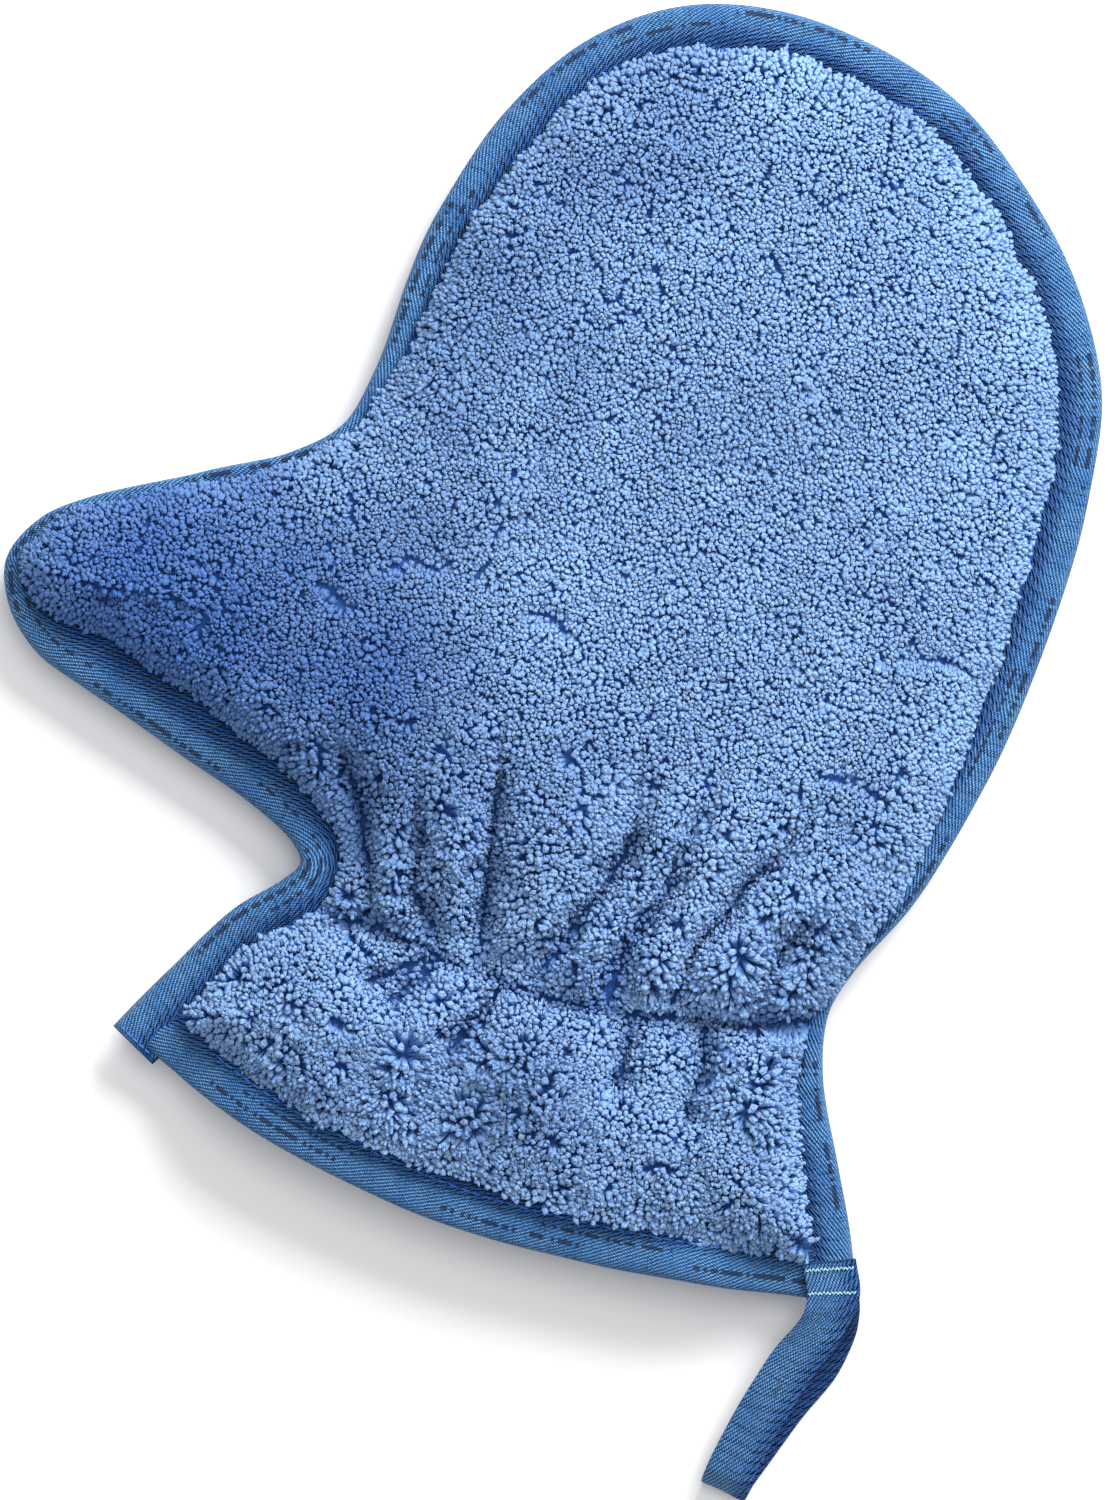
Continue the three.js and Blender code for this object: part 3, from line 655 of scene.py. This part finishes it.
def grow(prefix, spacing, count, height, edge_of, length, seed, up, regions, settings):
    """Tufts all over one side, open at their roots. Their outlines fit like cells, with dark cracks
    between them.
    """
    rng = np.random.default_rng(seed)
    lo, hi = outline.min(0) - 6, outline.max(0) + 6
    pitch, rise = spacing * WIDE, spacing * ROW_RISE
    cols, rows = int((hi[0] - lo[0]) / pitch), int((hi[1] - lo[1]) / rise)
    jj, ii = np.meshgrid(np.arange(rows), np.arange(cols), indexing="ij")
    base = np.stack([lo[0] + (ii + 0.5 * (jj % 2)) * pitch, lo[1] + jj * rise], axis=-1)
    base += rng.normal(0, 0.3 * spacing, base.shape)
    flat = base.reshape(-1, 2)
    gone = rng.random(len(flat)) < settings["missing"]
    spacing = spacing * 1.3
    warp = np.stack([big(flat, 9), big(flat + 400, 9)], axis=-1) * 0.9
    flat = flat + warp
    f = Field(flat)
    z = height(f)
    gx, gy = slope(height, flat)
    edge = edge_of(f)
    # Lean: the surface's own normal, a slow drift, a quick scatter, and what the openings push away.
    drift = np.stack([mid(flat, 22), mid(flat + 300, 22)], axis=-1)
    weight = 0.2 + 0.8 * np.clip(0.5 + big(flat + 90, 30), 0, 1)
    nearby = relief(f)[1] if settings["openings"] else np.full(len(flat), 99.0)
    upright = settings["normal"] * (1 - 0.75 * np.exp(-(nearby / 4) ** 2))
    lean = np.stack([-gx, -gy], axis=-1) * upright[:, None] + drift * settings["drift"] * weight[:, None]
    lean += rng.normal(0, settings["scatter"], flat.shape)
    lean += np.array([0.1, -0.34]) * smoothstep(flat[:, 1], -20, 60)[:, None]
    quick = np.stack([fine(flat, 5), fine(flat + 200, 5)], axis=-1)
    loose = smoothstep(-flat[:, 1], -14, 26) * (0.45 + 0.55 * smoothstep(mid(flat + 1200, 16), -0.5, 0.3))
    lean += quick * settings["quick"]
    comb = settings["loose"] * loose
    lean -= slope_of(lambda q: mid(q + 1300, 8), flat) * (settings["clump"] + comb)[:, None]
    lean -= slope_of(lambda q: fine(q + 1700, 4.5), flat) * (settings["clump"] + 0.3 * comb)[:, None]
    short = np.zeros(len(flat))
    if settings["openings"]:
        torn = flat + np.stack([fine(flat + 31, 3.6), fine(flat + 77, 3.6)], axis=-1) * 2.6
        for x, y, radius, strength in OPENINGS:
            d = torn - [x, y]
            r = np.linalg.norm(d, axis=1, keepdims=True)
            push = strength * 0.6 * np.exp(-(r / radius) ** 2) * np.clip(r / 1.5, 0.25, 1)
            lean += d / np.maximum(r, 0.3) * push
            near = r[:, 0] / radius
            short += strength * (0.18 * np.exp(-(near / 0.4) ** 2) - 0.3 * np.exp(-near ** 2))
        for a, b in CRACKS:
            a, b = np.array(a, float), np.array(b, float)
            across = np.array([-(b - a)[1], (b - a)[0]]) / np.linalg.norm(b - a)
            d, _ = line_distance([a, b], torn)
            sign = np.sign((torn - a) @ across)
            lean += across * (sign * 0.6 * np.exp(-(d / 2.6) ** 2))[:, None]
            short += 0.2 * np.exp(-(d / 1.4) ** 2)
    # Small partings where a slow noise changes sign.
    part = mid(flat + 700, 8)
    px = (mid(flat + [PART_STEP, 0] + 700, 8) - part) / PART_STEP
    py = (mid(flat + [0, PART_STEP] + 700, 8) - part) / PART_STEP
    grad = np.stack([px, py], axis=-1)
    grad /= np.maximum(np.linalg.norm(grad, axis=1, keepdims=True), 1e-3)
    where = smoothstep(big(flat + 1500, 18), 0.0, 0.35)
    lean += grad * (np.sign(part) * np.exp(-(part / 0.1) ** 2) * 0.38 * where)[:, None]
    short += 0.1 * np.exp(-(part / 0.06) ** 2) * where
    out = np.where((f.side - f.shows < f.cuff - HEM_WIDTH)[:, None], f.side_out, f.cuff_out)
    lean += out * (settings["fan"] * np.exp(-np.maximum(edge, 0) / 2.6))[:, None]
    size = np.linalg.norm(lean, axis=1, keepdims=True)
    cap = settings.get("cap", 1.1)
    lean *= np.tanh(size / cap) * cap / np.maximum(size, 1e-6)
    short += 0.4 * np.exp(-(nearby / 2.2) ** 2)
    tall = 1 + rng.normal(0, settings["uneven"], len(flat)) + 0.05 * fine(flat + 60, 7)
    tall *= length * (1 - short)
    over_tape = smoothstep(flat[:, 1], 120, 150) * np.exp(-(edge / 5) ** 2)
    tall *= 0.8 + 0.2 * smoothstep(edge, -1, 7) + 0.3 * over_tape
    tall *= 1 + 0.3 * loose * min(settings["loose"], 1.5)
    axis = np.concatenate([lean, np.full((len(flat), 1), 1.0)], axis=1)
    axis /= np.linalg.norm(axis, axis=1, keepdims=True)
    if "flake" in settings:
        full = np.clip(loose + np.exp(-(edge / 4) ** 2), 0, 1)
        tall *= settings["flake"] + (1 - settings["flake"]) * full
        z = z + settings["lift"] * (1 - 0.7 * np.exp(-(nearby / 2.5) ** 2)) * smoothstep(edge, -1, 4)
    root = np.concatenate([flat, z[:, None]], axis=1)
    axis[:, 2] *= up
    tip = root + axis * tall[:, None]
    if up < 0:
        tip[:, 2] = np.maximum(tip[:, 2], 0.25 + 0.2 * rng.random(len(tip)))
    turn = rng.uniform(0, 2 * np.pi, (rows, cols))
    spokes = np.arange(count) * 2 * np.pi / count
    away = np.where(gone, 1e5, 0.0)[:, None]
    r_root = cells((flat + away).reshape(rows, cols, 2), spokes, turn).reshape(-1, count)
    r_tip = cells((tip[:, :2] + away).reshape(rows, cols, 2), spokes, turn).reshape(-1, count)
    r_root = np.minimum(r_root, 1.6 * spacing)
    r_tip = np.minimum(np.maximum(r_tip, 0.2 * spacing), r_root * 1.35 + 0.25 * spacing)
    keep = inside(outline, flat) & (edge > 0) & ~gone & (nearby > 0.45)
    if "slim" in settings:
        keep &= rng.random(len(flat)) < 0.35 + 0.65 * np.clip(loose + np.exp(-(edge / 5) ** 2), 0, 1)
        r_root = np.minimum(r_root, settings["slim"])
        r_tip = np.minimum(r_tip, settings["slim"])
    mean = r_tip.mean(1)
    keep &= np.isfinite(mean)
    ang = turn.reshape(-1)[:, None] + spokes
    slant = np.stack([gx, gy], axis=-1) * np.exp(-np.abs(edge)[:, None] / 50)
    nod = rng.normal(0, 0.26, (len(flat), 2)) * mean[:, None]
    rings = settings["rings"]
    pts, tipness = [], []
    for share, width in rings:
        centre = root + (tip - root) * share
        centre[:, :2] += nod * share ** 3
        r = (r_root * (1 - share) + r_tip * share) * width
        r *= 1 + rng.normal(0, settings["ragged"] * share, r_tip.shape)
        x, y = r * np.cos(ang), r * np.sin(ang)
        zz = centre[:, 2:3] + x * slant[:, 0:1] + y * slant[:, 1:2]
        pts.append(np.stack([centre[:, 0:1] + x, centre[:, 1:2] + y, zz], axis=-1))
        pale = 0.62 + 0.38 * share if "slim" in settings else share
        tipness.append(np.full((len(flat), count), pale))
    crown = tip + axis * (0.14 * mean)[:, None]
    crown[:, :2] += nod * 1.3
    pts.append(crown[:, None, :])
    tipness.append(np.ones((len(flat), 1)))
    allp, allt = np.concatenate(pts, axis=1), np.concatenate(tipness, axis=1)
    rnd = rng.random(len(flat))
    # Tone: a slow random change, plus painted shade along the creases, painted light on the lobes about 7
    # mm from them, and the painted light and shade patches.
    tone = 1 + 0.09 * big(flat + 2500, 26) + 0.06 * mid(flat + 900, 12)
    tone -= 0.3 * np.exp(-(nearby / 1.5) ** 2) - 0.05 * np.exp(-((nearby - 7) / 5) ** 2)
    for x, y, radius, change in LIGHT_AND_SHADE_PATCHES if settings["openings"] else ():
        tone += change * np.exp(-((flat - [x, y]) ** 2).sum(1) / radius ** 2)
    made = []
    for name, test in regions:
        pick = np.where(keep & test(flat))[0]
        keep[pick] = False
        if not len(pick):
            continue
        per = allp.shape[1]
        points, tipv = allp[pick].reshape(-1, 3), allt[pick].reshape(-1)
        if up < 0:
            points[:, 2] = np.maximum(points[:, 2], 0.12)
        first = np.arange(len(pick))[:, None] * per
        k = np.arange(count)
        quads = []
        for r in range(len(rings) - 1):
            a, b = r * count + k, r * count + (k + 1) % count
            quad = np.stack([a, b, b + count, a + count], axis=-1)
            quads.append((first[:, :, None] + quad[None]).reshape(-1, 4))
        last = (len(rings) - 1) * count
        tri = np.stack([last + k, last + (k + 1) % count, np.full(count, last + count)], axis=-1)
        tris = (first[:, :, None] + tri[None]).reshape(-1, 3)
        quads = np.concatenate(quads)
        if up < 0:
            quads, tris = quads[:, ::-1], tris[:, ::-1]
        wide = int(math.ceil(math.sqrt(len(pick))))
        order = np.arange(len(pick))
        cell = np.stack([order % wide, order // wide], axis=-1)[:, None, :] + 0.5
        spread = (0.46 * (1 - 0.92 * allt[pick]))[..., None]
        spin = np.concatenate([np.tile(ang[pick], (1, len(rings))), np.zeros((len(pick), 1))], axis=1)
        uv = (cell + np.stack([np.cos(spin), np.sin(spin)], axis=-1) * spread) / wide
        uv[:, -1] = (cell / wide)[:, 0]
        obj = mesh_object(
            prefix + name, points, [quads, tris], {"OFBake": uv.reshape(-1, 2)},
            {"tip": tipv, "rnd": np.repeat(rnd[pick], per), "tone": np.repeat(tone[pick], per)},
        )
        made.append(finish_piece(obj, PLUSH))
    return made


# Each region takes the tufts that the ones before it leave.
FRONT_REGIONS = [
    ("thumb", lambda p: (p[:, 0] < -48) & (p[:, 1] < 60) & (p[:, 1] > -36)),
    ("cuff", lambda p: p[:, 1] < -46),
    ("heel_left", lambda p: (p[:, 1] < 30) & (p[:, 0] < 18)),
    ("heel_right", lambda p: p[:, 1] < 30),
    ("palm_left", lambda p: (p[:, 1] < 96) & (p[:, 0] < 20)),
    ("palm_right", lambda p: p[:, 1] < 96),
    ("fingers", lambda p: p[:, 1] >= 96),
]


FRONT_LOOK = {
    "normal": 0.5, "drift": 0.3, "scatter": 0.12, "quick": 0.12, "clump": 0.5, "missing": 0.28,
    "openings": True, "fan": 1.0, "uneven": 0.05, "ragged": 0.09, "loose": 1.5,
    "rings": [(0.25, 0.98), (0.93, 1.05), (1.0, 0.88)],
}
PETAL_LOOK = {
    "normal": 0.6, "drift": 0.8, "scatter": 0.26, "quick": 0.4, "clump": 1.3, "missing": 0.3,
    "openings": True, "fan": 1.0, "uneven": 0.09, "ragged": 0.06, "loose": 2.8,
    "slim": 0.52, "lift": 1.45, "cap": 2.4, "flake": 0.45,
    "rings": [(0.0, 0.5), (0.6, 1.1), (0.95, 0.84)],
}
BACK_LOOK = FRONT_LOOK | {
    "openings": False, "fan": 0.5, "uneven": 0.07, "ragged": 0.1, "loose": 0.1,
    "rings": [(0.0, 0.9), (0.85, 1.03), (0.99, 0.74)],
}

PILE_LENGTH = 3.1
front_pile = []
for prefix, spacing, seed, look in (
    ("front_pile_", 0.8, 5, FRONT_LOOK),
    ("front_locks_", 1.18, 15, PETAL_LOOK),
):
    front_pile += grow(
        prefix, spacing, 5, front_ground, pile_edge, PILE_LENGTH, seed, 1, FRONT_REGIONS, look,
    )


def back_edge(f):
    return np.minimum(f.side - np.maximum(12.5, 22 - f.shows - 1), f.cuff - (HEM_WIDTH + 1.0))


back_pile = grow(
    "back_pile_", 1.7, 6, back_ground, back_edge, 5.2, 8, -1,
    [("lower", lambda p: p[:, 1] < 20), ("upper", lambda p: p[:, 1] >= 20)], BACK_LOOK,
)

# ---- The panels' grounds, which the pile stands on ----


def panel(name, height, margin, cad, flip, cell=2.6):
    lo, hi = outline.min(0), outline.max(0)
    nx, ny = int((hi[0] - lo[0]) / cell) + 2, int((hi[1] - lo[1]) / cell) + 2
    gx, gy = np.meshgrid(lo[0] + np.arange(nx) * cell, lo[1] + np.arange(ny) * cell, indexing="ij")
    p = np.stack([gx.reshape(-1), gy.reshape(-1)], axis=-1)
    f = Field(p)
    good = inside(outline, p) & (f.side > margin(f)) & (f.cuff > 1.6)
    quads = strip_faces(nx, ny)
    quads = quads[good[quads].all(1)]
    used = np.unique(quads)
    index = np.full(len(p), -1)
    index[used] = np.arange(len(used))
    quads = index[quads]
    if not flip:
        quads = quads[:, ::-1]
    points = np.concatenate([p[used], height(f)[used, None]], axis=1)
    obj = mesh_object(name, points, [quads])
    finish_piece(obj, CLOTH)
    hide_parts(cad)
    return obj


def front_sheet(f):
    z = front_inside(f) + GROUND / 2
    edge = pile_edge(f)
    lift = 1.7 - 1.2 * np.exp(-(relief(f)[1] / 3) ** 2)
    return np.where(edge > 0, front_ground(f) - 0.6 + lift * smoothstep(edge, 1, 5), z)


def back_sheet(f):
    return back_inside(f) - GROUND / 2


front_cloth = panel(
    "front_panel_ground", front_sheet, lambda f: np.maximum(2.5, f.shows - 2), "front_panel", False,
)
back_cloth = panel("back_panel_ground", back_sheet, lambda f: 3.0 + 0 * f.side, "back_panel", True)
for pile, cloth in ((front_pile, front_cloth), (back_pile, back_cloth)):
    for piece in pile:
        world = piece.matrix_world.copy()
        piece.parent = cloth
        piece.matrix_world = world

# ---- Edge binding ----


def edge_tape():
    run = side_run
    n = len(side)
    top_w, rows = shows + 1.6, []
    flat2 = np.stack([run, np.zeros(n)], axis=-1)
    pucker = mid(flat2, 4.2) * 1.1 + fine(flat2, 2.3) * 0.6
    waver = big(flat2 + 40, 17)
    roll = fine(flat2 + 90, 9)
    c = (EDGE_LOW + EDGE_HIGH) / 2
    half = (EDGE_HIGH - EDGE_LOW) / 2
    under = np.clip(22.0 - shows, 9, 17.5)
    # Round the section: bottom inner edge, bottom, fold, top, top inner edge.
    lower = [(1.0, 0.55), (0.8, 0.62), (0.55, 0.86), (0.3, 1.0), (0.14, 0.9), (0.045, 0.58)]
    upper = [(0.03, 0.62), (0.1, 0.93), (0.2, 1.04), (0.34, 1.08), (0.48, 1.06), (0.6, 0.98),
             (0.7, 0.84), (0.78, 0.66), (0.84, 0.56), (0.9, 0.66), (0.96, 0.78), (1.0, 0.72)]
    for share, level in lower:
        u = under * share + roll * 0.15
        z = c - half * (level + 0.08 * waver * (share > 0.1))
        rows.append((u, z))
    rows.append((np.full(n, 0.0) + 0.25 * waver, np.full(n, c) + 0.3 * waver))
    for share, level in upper:
        u = top_w * share
        fold = np.exp(-((share - 0.86) / 0.2) ** 2)
        z = c + half * level + pucker * fold * 0.75 + 0.22 * waver * np.exp(-((share - 0.35) / 0.3) ** 2)
        rows.append((u + (pucker * 0.35 * (share > 0.9)), z))
    # The tape's inner face, which holds the panels' edges.
    rows.append((top_w * 0.98, c + half * 0.32))
    rows.append((top_w * 0.5, c + half * 0.5))
    for u, level in ((2.2, 0.5), (1.2, 0.3), (1.2, -0.3), (2.2, -0.45)):
        rows.append((np.full(n, u), c + half * level))
    rows.append((under * 0.5, c - half * 0.5))
    rows.append((under * 0.98, c - half * 0.25))
    pts = []
    for u, z in rows:
        xy = side + side_in * u[:, None]
        z = np.broadcast_to(z, n)
        pts.append(np.concatenate([xy, z[:, None]], axis=1))
    grid = np.stack(pts, axis=1)
    ends = np.minimum(run, run[-1] - run)
    round_off = np.sqrt(1 - (1 - np.clip(ends / 1.8, 0, 1)) ** 2)[:, None]
    grid[..., 2] = c + (grid[..., 2] - c) * (0.25 + 0.75 * round_off)
    return tape_mesh("edge_binding_tape", grid, run, fold=len(lower))


binding = finish_piece(edge_tape(), TAPE)
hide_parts("edge_binding")

# ---- Cuff bindings ----


def cuff_tape(name, cad, level, front):
    n = len(cuff)
    flat2 = np.stack([cuff_run, np.full(n, 30.0 if front else 60.0)], axis=-1)
    pucker = mid(flat2, 4.6) * 1.0 + fine(flat2, 2.3) * 0.5
    waver = big(flat2 + 40, 15)
    section = [
        (1.0, -1.0), (0.85, -1.15), (0.5, -1.3), (0.15, -1.15), (0.04, -0.7), (0.0, 0.0), (0.04, 0.75),
        (0.15, 1.3), (0.32, 1.55), (0.5, 1.5), (0.64, 1.25), (0.74, 0.95), (0.82, 0.8), (0.9, 1.0),
        (0.97, 1.2), (1.0, 1.0), (0.99, 0.25), (0.5, 0.7), (0.2, 0.4), (0.2, -0.3), (0.5, -0.5),
        (0.99, -0.3),
    ]
    outer = 1 if front else -1
    pts = []
    for share, rise in section:
        u = HEM_WIDTH * share + 0.2 * waver * (share < 0.1)
        xy = cuff + cuff_in * u[:, None] if np.ndim(u) else cuff + cuff_in * u
        base = level(Field(cuff + cuff_in * HEM_WIDTH * share))
        crease = np.exp(-((share - 0.82) / 0.2) ** 2)
        bulge = pucker * crease * 0.6 * (rise > 0.5) + 0.3 * waver * (1 - crease)
        z = base + outer * (rise * 1.15 + bulge)
        pts.append(np.concatenate([xy, z[:, None]], axis=1))
    grid = np.stack(pts, axis=1)
    # The ends tuck into the edge binding.
    f = Field(grid.reshape(-1, 3)[:, :2])
    tuck = smoothstep(f.side, 1.0, 12.0).reshape(grid.shape[:2])
    mid_z = (EDGE_LOW + EDGE_HIGH) / 2 + (1.2 if front else -1.2)
    grid[..., 2] = mid_z + (grid[..., 2] - mid_z) * (0.3 + 0.7 * tuck)
    obj = tape_mesh(name, grid, cuff_run + CUFF_PRINT, fold=5, capped=False, flipped=not front)
    finish_piece(obj, TAPE)
    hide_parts(cad)
    return obj


def front_middle(f):
    return front_inside(f) + GROUND / 2


def back_middle(f):
    return back_inside(f) - GROUND / 2


front_hem = cuff_tape("front_cuff_tape", "front_cuff_binding", front_middle, True)
back_hem = cuff_tape("back_cuff_tape", "back_cuff_binding", back_middle, False)

# ---- Stitches ----


# Pitch, length and radius of one stitch.
SEAM_STITCH = (2.7, 2.1, 0.22)
BARTACK_STITCH = (1.1, 1.05, 0.17)
TACK_STITCH = (1.9, 1.6, 0.18)
HEM_SEAM = HEM_WIDTH * 0.83


def stitches(name, points, ups, stitch, material, cad):
    """A row of short raised stitches along a dense run of points (design mm)."""
    pitch, length, radius = stitch
    run = np.concatenate([[0], np.cumsum(np.linalg.norm(np.diff(points, axis=0), axis=1))])
    starts = np.arange(0.4, run[-1] - length, pitch)
    sides, rings = 5, 5
    shape = np.linspace(0, 1, rings)
    verts, faces = [], []
    for s in starts:
        at = s + shape * length
        c = np.stack([np.interp(at, run, points[:, i]) for i in range(3)], axis=1)
        up = np.stack([np.interp(at, run, ups[:, i]) for i in range(3)], axis=1)
        t = np.gradient(c, axis=0)
        t /= np.linalg.norm(t, axis=1, keepdims=True)
        sidev = np.cross(t, up)
        sidev /= np.maximum(np.linalg.norm(sidev, axis=1, keepdims=True), 1e-6)
        c = c + up * (np.sin(shape * np.pi) * radius * 1.1 - radius * 0.5)[:, None]
        r = radius * (0.55 + 0.45 * np.sin(shape * np.pi))
        a = np.arange(sides) * 2 * np.pi / sides
        ring = c[:, None] + r[:, None, None] * (
            np.cos(a)[None, :, None] * sidev[:, None] + np.sin(a)[None, :, None] * up[:, None]
        )
        first = len(verts) * rings * sides
        verts.append(ring.reshape(-1, 3))
        faces.append(first + strip_faces(rings, sides, closed=True))
    obj = mesh_object(name, np.concatenate(verts), [np.concatenate(faces)])
    finish_piece(obj, material)
    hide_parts(cad)
    return obj


def on_surface(obj, xy, fallback, from_above=True):
    """Heights of the piece's own surface at some places, by ray."""
    z = np.empty(len(xy))
    start, way = (0.08, -1) if from_above else (-0.08, 1)
    inv = obj.matrix_world.inverted()
    for i, (x, y) in enumerate(xy):
        q = place((x, y, 0))
        hit, loc, _, _ = obj.ray_cast(inv @ Vector((q[0], q[1], start)), Vector((0, 0, way)))
        z[i] = loc.z / MM if hit else fallback
    return z


bpy.context.view_layer.update()
UP = np.array([0.0, 0.0, 1.0])


def seam(name, path, ins, offset, target, level, cad, above, trim):
    xy = (path + ins * np.asarray(offset).reshape(-1, 1))[trim[0]:trim[1]]
    z = on_surface(target, xy, level, above) + (0.12 if above else -0.12)
    z = np.convolve(np.pad(z, 2, mode="edge"), np.ones(5) / 5, "valid")
    ups = np.repeat((UP if above else -UP)[None], len(xy), 0)
    points = np.concatenate([xy, z[:, None]], axis=1)
    return stitches(name, points, ups, SEAM_STITCH, BLUE_THREAD, cad)


for name, path, ins, offset, target, level, above, trim in (
    ("edge_seam_needle", side, side_in, shows + 0.1, binding, EDGE_HIGH, True, (12, -14)),
    ("edge_seam_bobbin", side, side_in, np.full(len(side), 8.6), binding, EDGE_LOW, False, (12, -14)),
    ("front_cuff_seam", cuff, cuff_in, np.full(len(cuff), HEM_SEAM), front_hem, 18, True, (14, -14)),
    ("back_cuff_seam", cuff, cuff_in, np.full(len(cuff), HEM_SEAM), back_hem, 3, False, (14, -14)),
):
    seam(name, path, ins, offset, target, level, name + "_thread", above, trim)

# ---- Hang loop ----

loop_out = tangents(side)[-1]
loop_across = np.array([-loop_out[1], loop_out[0]])
loop_root = side[-1] - loop_across * TAPE_WIDTH / 2


def loop_point(out, across, z):
    xy = loop_root + loop_out * out + loop_across * across
    return np.array([xy[0], xy[1], z])


def strap():
    centre = np.array([loop_point(o, a, z) for o, z, a in LOOP_PATH])
    path, run = spline(centre, 0.7)
    n = len(path)
    t = tangents(path)
    out = (path[:, :2] - loop_root) @ loop_out
    turn = LOOP_TURN * smoothstep(out, *LOOP_TURN_RUN)[:, None]
    across = loop_across * np.cos(turn) + loop_out * np.sin(turn)
    across = np.hstack([across, np.zeros((n, 1))])
    t = t - (t * across).sum(1, keepdims=True) * across
    t /= np.linalg.norm(t, axis=1, keepdims=True)
    up = np.cross(across, t)
    up /= np.linalg.norm(up, axis=1, keepdims=True)
    flat2 = np.stack([run, np.full(n, 120.0)], axis=-1)
    curl, wave = big(flat2, 16) * 0.5, mid(flat2, 7) * 0.25
    half = 5.9 - 0.6 * smoothstep(run, 8, 16) + 0.5 * smoothstep(run, run[-1] - 16, run[-1] - 8)
    section = [
        (-1, -0.3), (-0.9, -0.72), (-0.5, -0.8), (0, -0.78), (0.5, -0.8), (0.9, -0.66), (1.0, -0.2),
        (1.0, 0.25), (0.9, 0.66), (0.62, 0.62), (0.5, 0.82), (0, 0.84), (-0.5, 0.8), (-0.9, 0.72),
        (-1, 0.3),
    ]
    pts = []
    for x, y in section:
        lift = y * 0.62 + curl * (x * x - 0.3) + wave * x
        pts.append(path + across * (x * half)[:, None] + up * lift[:, None])
    grid = np.stack(pts, axis=1)
    grid[..., 2] = np.maximum(grid[..., 2], 0.15)
    # Marks the strap's inside face, which the tape material paints darker as painted shade.
    inner = np.tile((np.arange(len(section)) >= INNER_FROM) * 1.0, n)
    return tape_mesh("hang_loop_strap", grid, run + LOOP_PRINT, values={"inner": inner})


loop = finish_piece(strap(), TAPE_INNER, body=None)
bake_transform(loop)
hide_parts("hang_loop", "hang_loop_tab")
bpy.context.view_layer.update()


def bartack(name, at, slope_out, cad, width=11.0):
    """A dense zigzag row across the strap."""
    steps = 26
    x = np.linspace(-width / 2, width / 2, steps)
    o = at + slope_out * (x / width) + 0.35 * np.where(np.arange(steps) % 2, 1, -1)
    pts = np.array([loop_point(oo, xx, 0) for oo, xx in zip(o, x)])
    between = np.linspace(0, steps - 1, 150)
    dense = np.stack([np.interp(between, np.arange(steps), pts[:, i]) for i in range(3)], axis=1)
    dense[:, 2] = on_surface(loop, dense[:, :2], 14.6) + 0.1
    ups = np.repeat(UP[None], len(dense), 0)
    return stitches(name, dense, ups, BARTACK_STITCH, PALE_THREAD, cad)


bartack("loop_bartack_rear", -4.9, 0.6, "loop_bartack_inner")
bartack("loop_bartack_front", 0.4, 1.0, "loop_bartack_outer")

along = tangents(side)[0]
inw = side_in[0]
row = np.array([[*(side[0] + inw * u + along * 1.4), 0.0] for u in np.linspace(0.8, 10.6, 90)])
row[:, 2] = on_surface(binding, row[:, :2], EDGE_HIGH) + 0.1
ups = np.repeat(UP[None], len(row), 0)
stitches("corner_tack", row, ups, TACK_STITCH, BLUE_THREAD, "corner_tack_thread")

# ---- Nodes carried over from the CAD ----

for name, material in (
    ("front_wrist_elastic", ELASTIC), ("back_wrist_elastic", ELASTIC),
    ("front_elastic_thread", BLUE_THREAD), ("back_elastic_thread", BLUE_THREAD),
):
    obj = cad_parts[name]
    for s in obj.material_slots:
        s.material = material

# ---- Floor, light and camera ----

me = bpy.data.meshes.new("floor")
me.from_pydata([(-3, -3, 0), (3, -3, 0), (3, 3, 0), (-3, 3, 0)], [], [(0, 1, 2, 3)])
floor = bpy.data.objects.new("floor", me)
bpy.context.scene.collection.objects.link(floor)
n = Nodes("floor")
mottled = n.mix(n.noise(n.node("TexCoord", 3), 3, 2), (0.86, 0.86, 0.87), (0.9, 0.9, 0.9))
me.materials.append(n.finish(mottled, 0.6))

world = bpy.data.worlds.new("studio")
bpy.context.scene.world = world
world.use_nodes = True
world.node_tree.nodes["Background"].inputs[0].default_value = (1, 1, 1, 1)
world.node_tree.nodes["Background"].inputs[1].default_value = 0.5

VIEW_TURN = math.radians(15)  # the mitt lies turned by this in the view
IMAGE_UP = np.array([-math.sin(VIEW_TURN), math.cos(VIEW_TURN), 0])
IMAGE_RIGHT = np.array([math.cos(VIEW_TURN), math.sin(VIEW_TURN), 0])


def area_light(name, right, up, height, size, watts):
    data = bpy.data.lights.new(name, "AREA")
    data.size, data.energy = size, watts
    obj = bpy.data.objects.new(name, data)
    at = Vector(IMAGE_RIGHT * right + IMAGE_UP * up) + Vector((0, 0, height))
    obj.location = at
    obj.rotation_euler = (Vector((0, 0, 0)) - at).to_track_quat("-Z", "Y").to_euler()
    bpy.context.scene.collection.objects.link(obj)


area_light("key", 0.7, 0.95, 0.8, 0.8, 36)
area_light("top", 0.1, 0.3, 1.5, 0.9, 9)

VIEW_HEIGHT = 0.33
DISTANCE = 1.25
SENSOR = 24
camera = bpy.data.objects.new("camera", bpy.data.cameras.new("camera"))
bpy.context.scene.collection.objects.link(camera)
camera.data.sensor_fit = "VERTICAL"
camera.data.sensor_height = SENSOR
camera.data.lens = SENSOR * DISTANCE / VIEW_HEIGHT
aim = Vector(place((0, 0, 12)))
camera.location = aim + Vector((0, 0, DISTANCE))
camera.matrix_world = Matrix((
    (IMAGE_RIGHT[0], IMAGE_UP[0], 0, camera.location.x),
    (IMAGE_RIGHT[1], IMAGE_UP[1], 0, camera.location.y),
    (0, 0, 1, camera.location.z),
    (0, 0, 0, 1),
))
bpy.context.scene.camera = camera
bpy.context.scene.view_settings.view_transform = "Standard"

bpy.context.view_layer.update()
